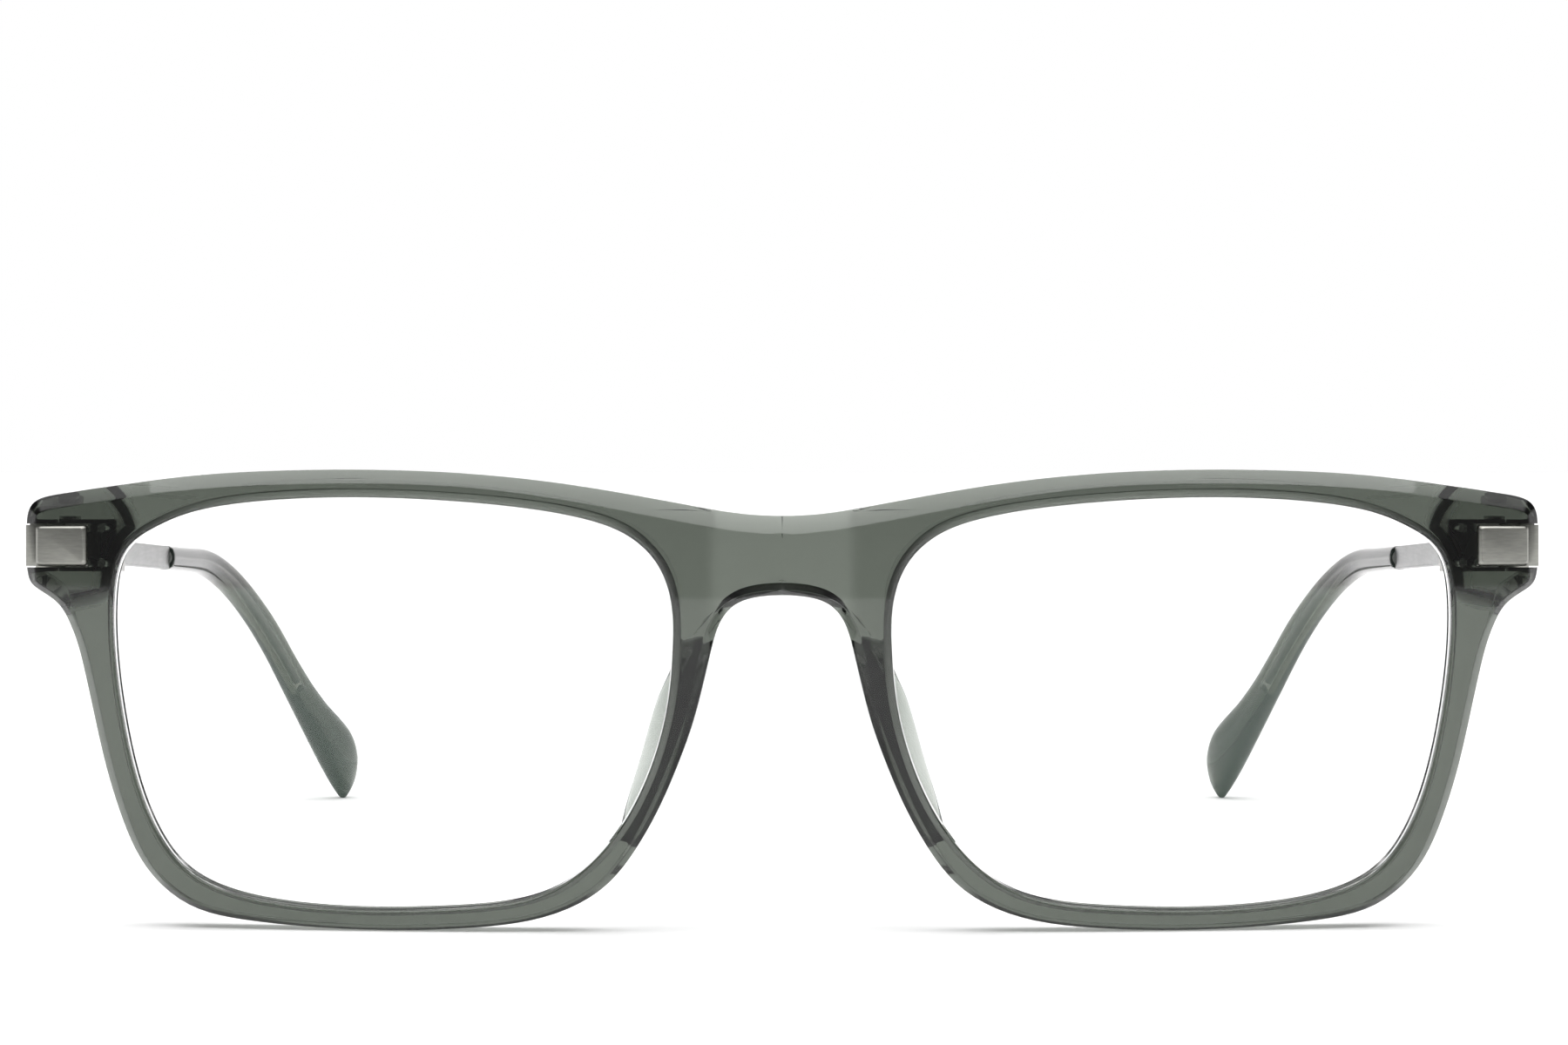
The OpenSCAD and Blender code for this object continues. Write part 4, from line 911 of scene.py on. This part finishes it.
def tip_steps():
    """Lengths at which the tip gets a ring: closer together along the paddle and closest at its point"""
    steps = [*TIP_EASE] + [0.8 * i for i in range(1, 70)] + [56.5 + 0.5 * i for i in range(19)]
    return sorted(s for s in steps if s < 65.8) + [66 + 0.25 * i for i in range(12)] + [68.9, FORM_L]


def core_r(s):
    return mix(WIRE_R, WIRE_END_R, min(1, max(0, s) / WIRE_L))


def make_tip(side, in_temple):
    """Skin of the tip, and the bore in it for the core wire"""
    rings = [tip_ring(s, TIP_SIDES, TIP_EASE.get(s, 1)) for s in tip_steps()]
    depths = [0.0] + [2.0 * i for i in range(1, 27)] + [WIRE_L + BORE_SPARE]
    bore = [(s, core_r(s) + WIRE_GAP) for s in depths]
    bore_rings = [ring_at(BAR_L + s, r, r, TIP_SIDES, 1) for s, r in bore]
    n = TIP_SIDES
    points = [in_temple(p) for r in rings + bore_rings for p in r]
    faces = loft_faces(len(rings), n, False)
    faces.append([(len(rings) - 1) * n + i for i in range(n)])
    first = len(rings) * n
    inside = loft_faces(len(bore_rings), n, False, first)
    faces += [list(reversed(f)) for f in inside]
    faces.append([first + (len(bore_rings) - 1) * n + i for i in reversed(range(n))])
    faces += [[(i + 1) % n, i, first + i, first + (i + 1) % n] for i in range(n)]
    tip = make_mesh(f"acetate_tip_{side}", points, faces, side, 50)
    dress(tip, TIP_ACETATE, f"temple_{side}", f"temple_tip_{side}")


def bar_half_h(s):
    return mix(BLOCK_H, BAR_H, ramp(s, PLATE_L, PLATE_L + BAR_TAPER_L)) / 2


def bar_ring(s, corner=0.28, shrink=0.0):
    """Section of the bar at the length s along the route"""
    return across_route(s, round_corners(BAR_T / 2 - shrink, bar_half_h(s) - shrink, corner, 5))


# Corner radius of the bar, and how much smaller it is, at its two last rings
BAR_END, BAR_NEAR_END = (0.2, 0.12), (0.24, 0.04)


def make_bar(side, in_temple):
    """Flat bar with eased ends, and the core wire that runs on from it"""
    steps = [BUTT_Y + 0.15] + [1.5 * i for i in range(1, 46)] + [BAR_L - 0.5, BAR_L - 0.17]
    rings = [bar_ring(BUTT_Y, *BAR_END), bar_ring(BUTT_Y + 0.04, *BAR_NEAR_END)]
    rings += [bar_ring(s) for s in steps]
    rings += [bar_ring(BAR_L - 0.06, *BAR_NEAR_END), bar_ring(BAR_L - 0.02, *BAR_END)]
    sides = len(rings[0])
    depths = [-0.01] + [2.0 * i for i in range(1, 26)] + [WIRE_L - 0.2]
    wire = [ring_at(BAR_L + s, core_r(s), core_r(s), sides, 1) for s in depths]
    wire.append(ring_at(BAR_L + WIRE_L, WIRE_END_R * 0.7, WIRE_END_R * 0.7, sides, 1))
    points = [in_temple(p) for r in rings + wire for p in r]
    bar = make_mesh(f"metal_bar_{side}", points, loft_faces(len(rings + wire), sides), side)
    dress(bar, BAR_METAL, f"temple_{side}", f"temple_bar_{side}")


def keep_node(node, material):
    """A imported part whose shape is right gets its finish."""
    obj = frame["nodes"][node]
    if not obj.material_slots:
        obj.data.materials.append(material)
    for slot in obj.material_slots:
        slot.material = material


make_front()
IN_TEMPLE = in_temple_frame(HINGE, temple_slope())
for SIDE in ("right", "left"):
    make_lens(SIDE)
    make_pad(SIDE)
    make_block(SIDE, IN_TEMPLE)
    make_bar(SIDE, IN_TEMPLE)
    make_tip(SIDE, IN_TEMPLE)
    keep_node(f"front_hinge_leaf_{SIDE}", HINGE_METAL)
    keep_node(f"temple_hinge_leaf_{SIDE}", HINGE_METAL)
    keep_node(f"leaf_screws_{SIDE}", SCREW_METAL)
    keep_node(f"hinge_screw_{SIDE}", SCREW_METAL)
    keep_node(f"hinge_washers_{SIDE}", WASHER_NYLON)


# Floor, light and camera

def make_floor(size=2.4):
    half = size / 2
    corners = [(-half, -half, 0), (half, -half, 0), (half, half, 0), (-half, half, 0)]
    mesh = bpy.data.meshes.new("floor")
    mesh.from_pydata(corners, [], [(0, 1, 2, 3)])
    mesh.materials.append(white_floor("white_floor"))
    floor = bpy.data.objects.new("floor", mesh)
    bpy.context.scene.collection.objects.link(floor)


# Light of the studio by the sine of the height above the horizon, as shares of the brightest,
# and by the direction from front to back
STUDIO_STRENGTH = 1.65
STUDIO_GREYS = [(0, 0.67), (0.28, 0.67), (0.34, 0.07), (0.62, 0.07), (0.72, 1)]
FRONT_GREYS = [(0.2, 0.25), (0.5, 1)]


def grey_ramp(nodes, links, value, low, high, greys):
    """Greys by a value that goes from low to high"""
    spread = nodes.new("ShaderNodeMapRange")
    spread.inputs["From Min"].default_value, spread.inputs["From Max"].default_value = low, high
    links.new(value, spread.inputs["Value"])
    band = nodes.new("ShaderNodeValToRGB")
    stops = band.color_ramp.elements
    while len(stops) < len(greys):
        stops.new(0.5)
    for stop, (position, grey) in zip(stops, greys):
        stop.position, stop.color = position, (grey, grey, grey, 1)
    links.new(spread.outputs["Result"], band.inputs["Fac"])
    return band.outputs["Color"]


def make_world():
    """Studio round the glasses: white up to the top of the backdrop, dark above it and behind the camera,
    and a bright ceiling. The camera itself sees plain white."""
    world = bpy.data.worlds.new("studio")
    bpy.context.scene.world = world
    world.use_nodes = True
    nodes, links = world.node_tree.nodes, world.node_tree.links
    parts = nodes.new("ShaderNodeSeparateXYZ")
    links.new(nodes.new("ShaderNodeTexCoord").outputs["Generated"], parts.inputs[0])
    height = grey_ramp(nodes, links, parts.outputs["Z"], 0, 1, STUDIO_GREYS)
    front = grey_ramp(nodes, links, parts.outputs["Y"], -1, 1, FRONT_GREYS)
    both = nodes.new("ShaderNodeMixRGB")
    both.blend_type = "MULTIPLY"
    both.inputs["Fac"].default_value = 1
    links.new(height, both.inputs[1])
    links.new(front, both.inputs[2])
    links.new(both.outputs["Color"], nodes["Background"].inputs["Color"])
    nodes["Background"].inputs["Strength"].default_value = STUDIO_STRENGTH
    plain = nodes.new("ShaderNodeBackground")
    plain.inputs["Color"].default_value = (1, 1, 1, 1)
    seen = nodes.new("ShaderNodeMixShader")
    links.new(nodes.new("ShaderNodeLightPath").outputs["Is Camera Ray"], seen.inputs["Fac"])
    links.new(nodes["Background"].outputs["Background"], seen.inputs[1])
    links.new(plain.outputs["Background"], seen.inputs[2])
    links.new(seen.outputs["Shader"], nodes["World Output"].inputs["Surface"])


def add_softbox(name, place, aim, size, power):
    light = bpy.data.lights.new(name, "AREA")
    light.shape, light.size, light.size_y, light.energy = "RECTANGLE", size[0], size[1], power
    obj = bpy.data.objects.new(name, light)
    obj.location = place
    obj.rotation_euler = (Vector(aim) - Vector(place)).to_track_quat("-Z", "Y").to_euler()
    bpy.context.scene.collection.objects.link(obj)


# The photograph is 1800 pixels wide. Its horizon, its middle line and its focal length are in its pixels.
PHOTO_W, PHOTO_H = 1800, 1200
FOCAL_PX, MIDDLE_PX, HORIZON_PX = 6307, 898, 333
SENSOR_W = 36
# How far the camera stands ahead of the front and above the surface, in metres
CAMERA_AHEAD, CAMERA_HEIGHT = 0.5, 0.059


def make_camera():
    data = bpy.data.cameras.new("camera")
    data.sensor_width = SENSOR_W
    data.lens = SENSOR_W * FOCAL_PX / PHOTO_W
    data.clip_start, data.clip_end = 0.01, 50
    cam = bpy.data.objects.new("camera", data)
    cam.location = (0, FRONT_LOW[1] - CAMERA_AHEAD, CAMERA_HEIGHT)
    pitch = math.atan((PHOTO_H / 2 - HORIZON_PX) / FOCAL_PX)
    yaw = -math.atan((PHOTO_W / 2 - MIDDLE_PX) / FOCAL_PX)
    cam.rotation_euler = (math.pi / 2 - pitch, 0, yaw)
    bpy.context.scene.collection.objects.link(cam)
    bpy.context.scene.camera = cam


SOFTBOX_AT, SOFTBOX_SIZE, SOFTBOX_WATTS = (0, -0.35, 1.8), (2.2, 1.6), 24
make_floor()
make_world()
add_softbox("top_softbox", SOFTBOX_AT, (0, 0, 0), SOFTBOX_SIZE, SOFTBOX_WATTS)
make_camera()
bpy.context.scene.view_settings.view_transform = "Standard"
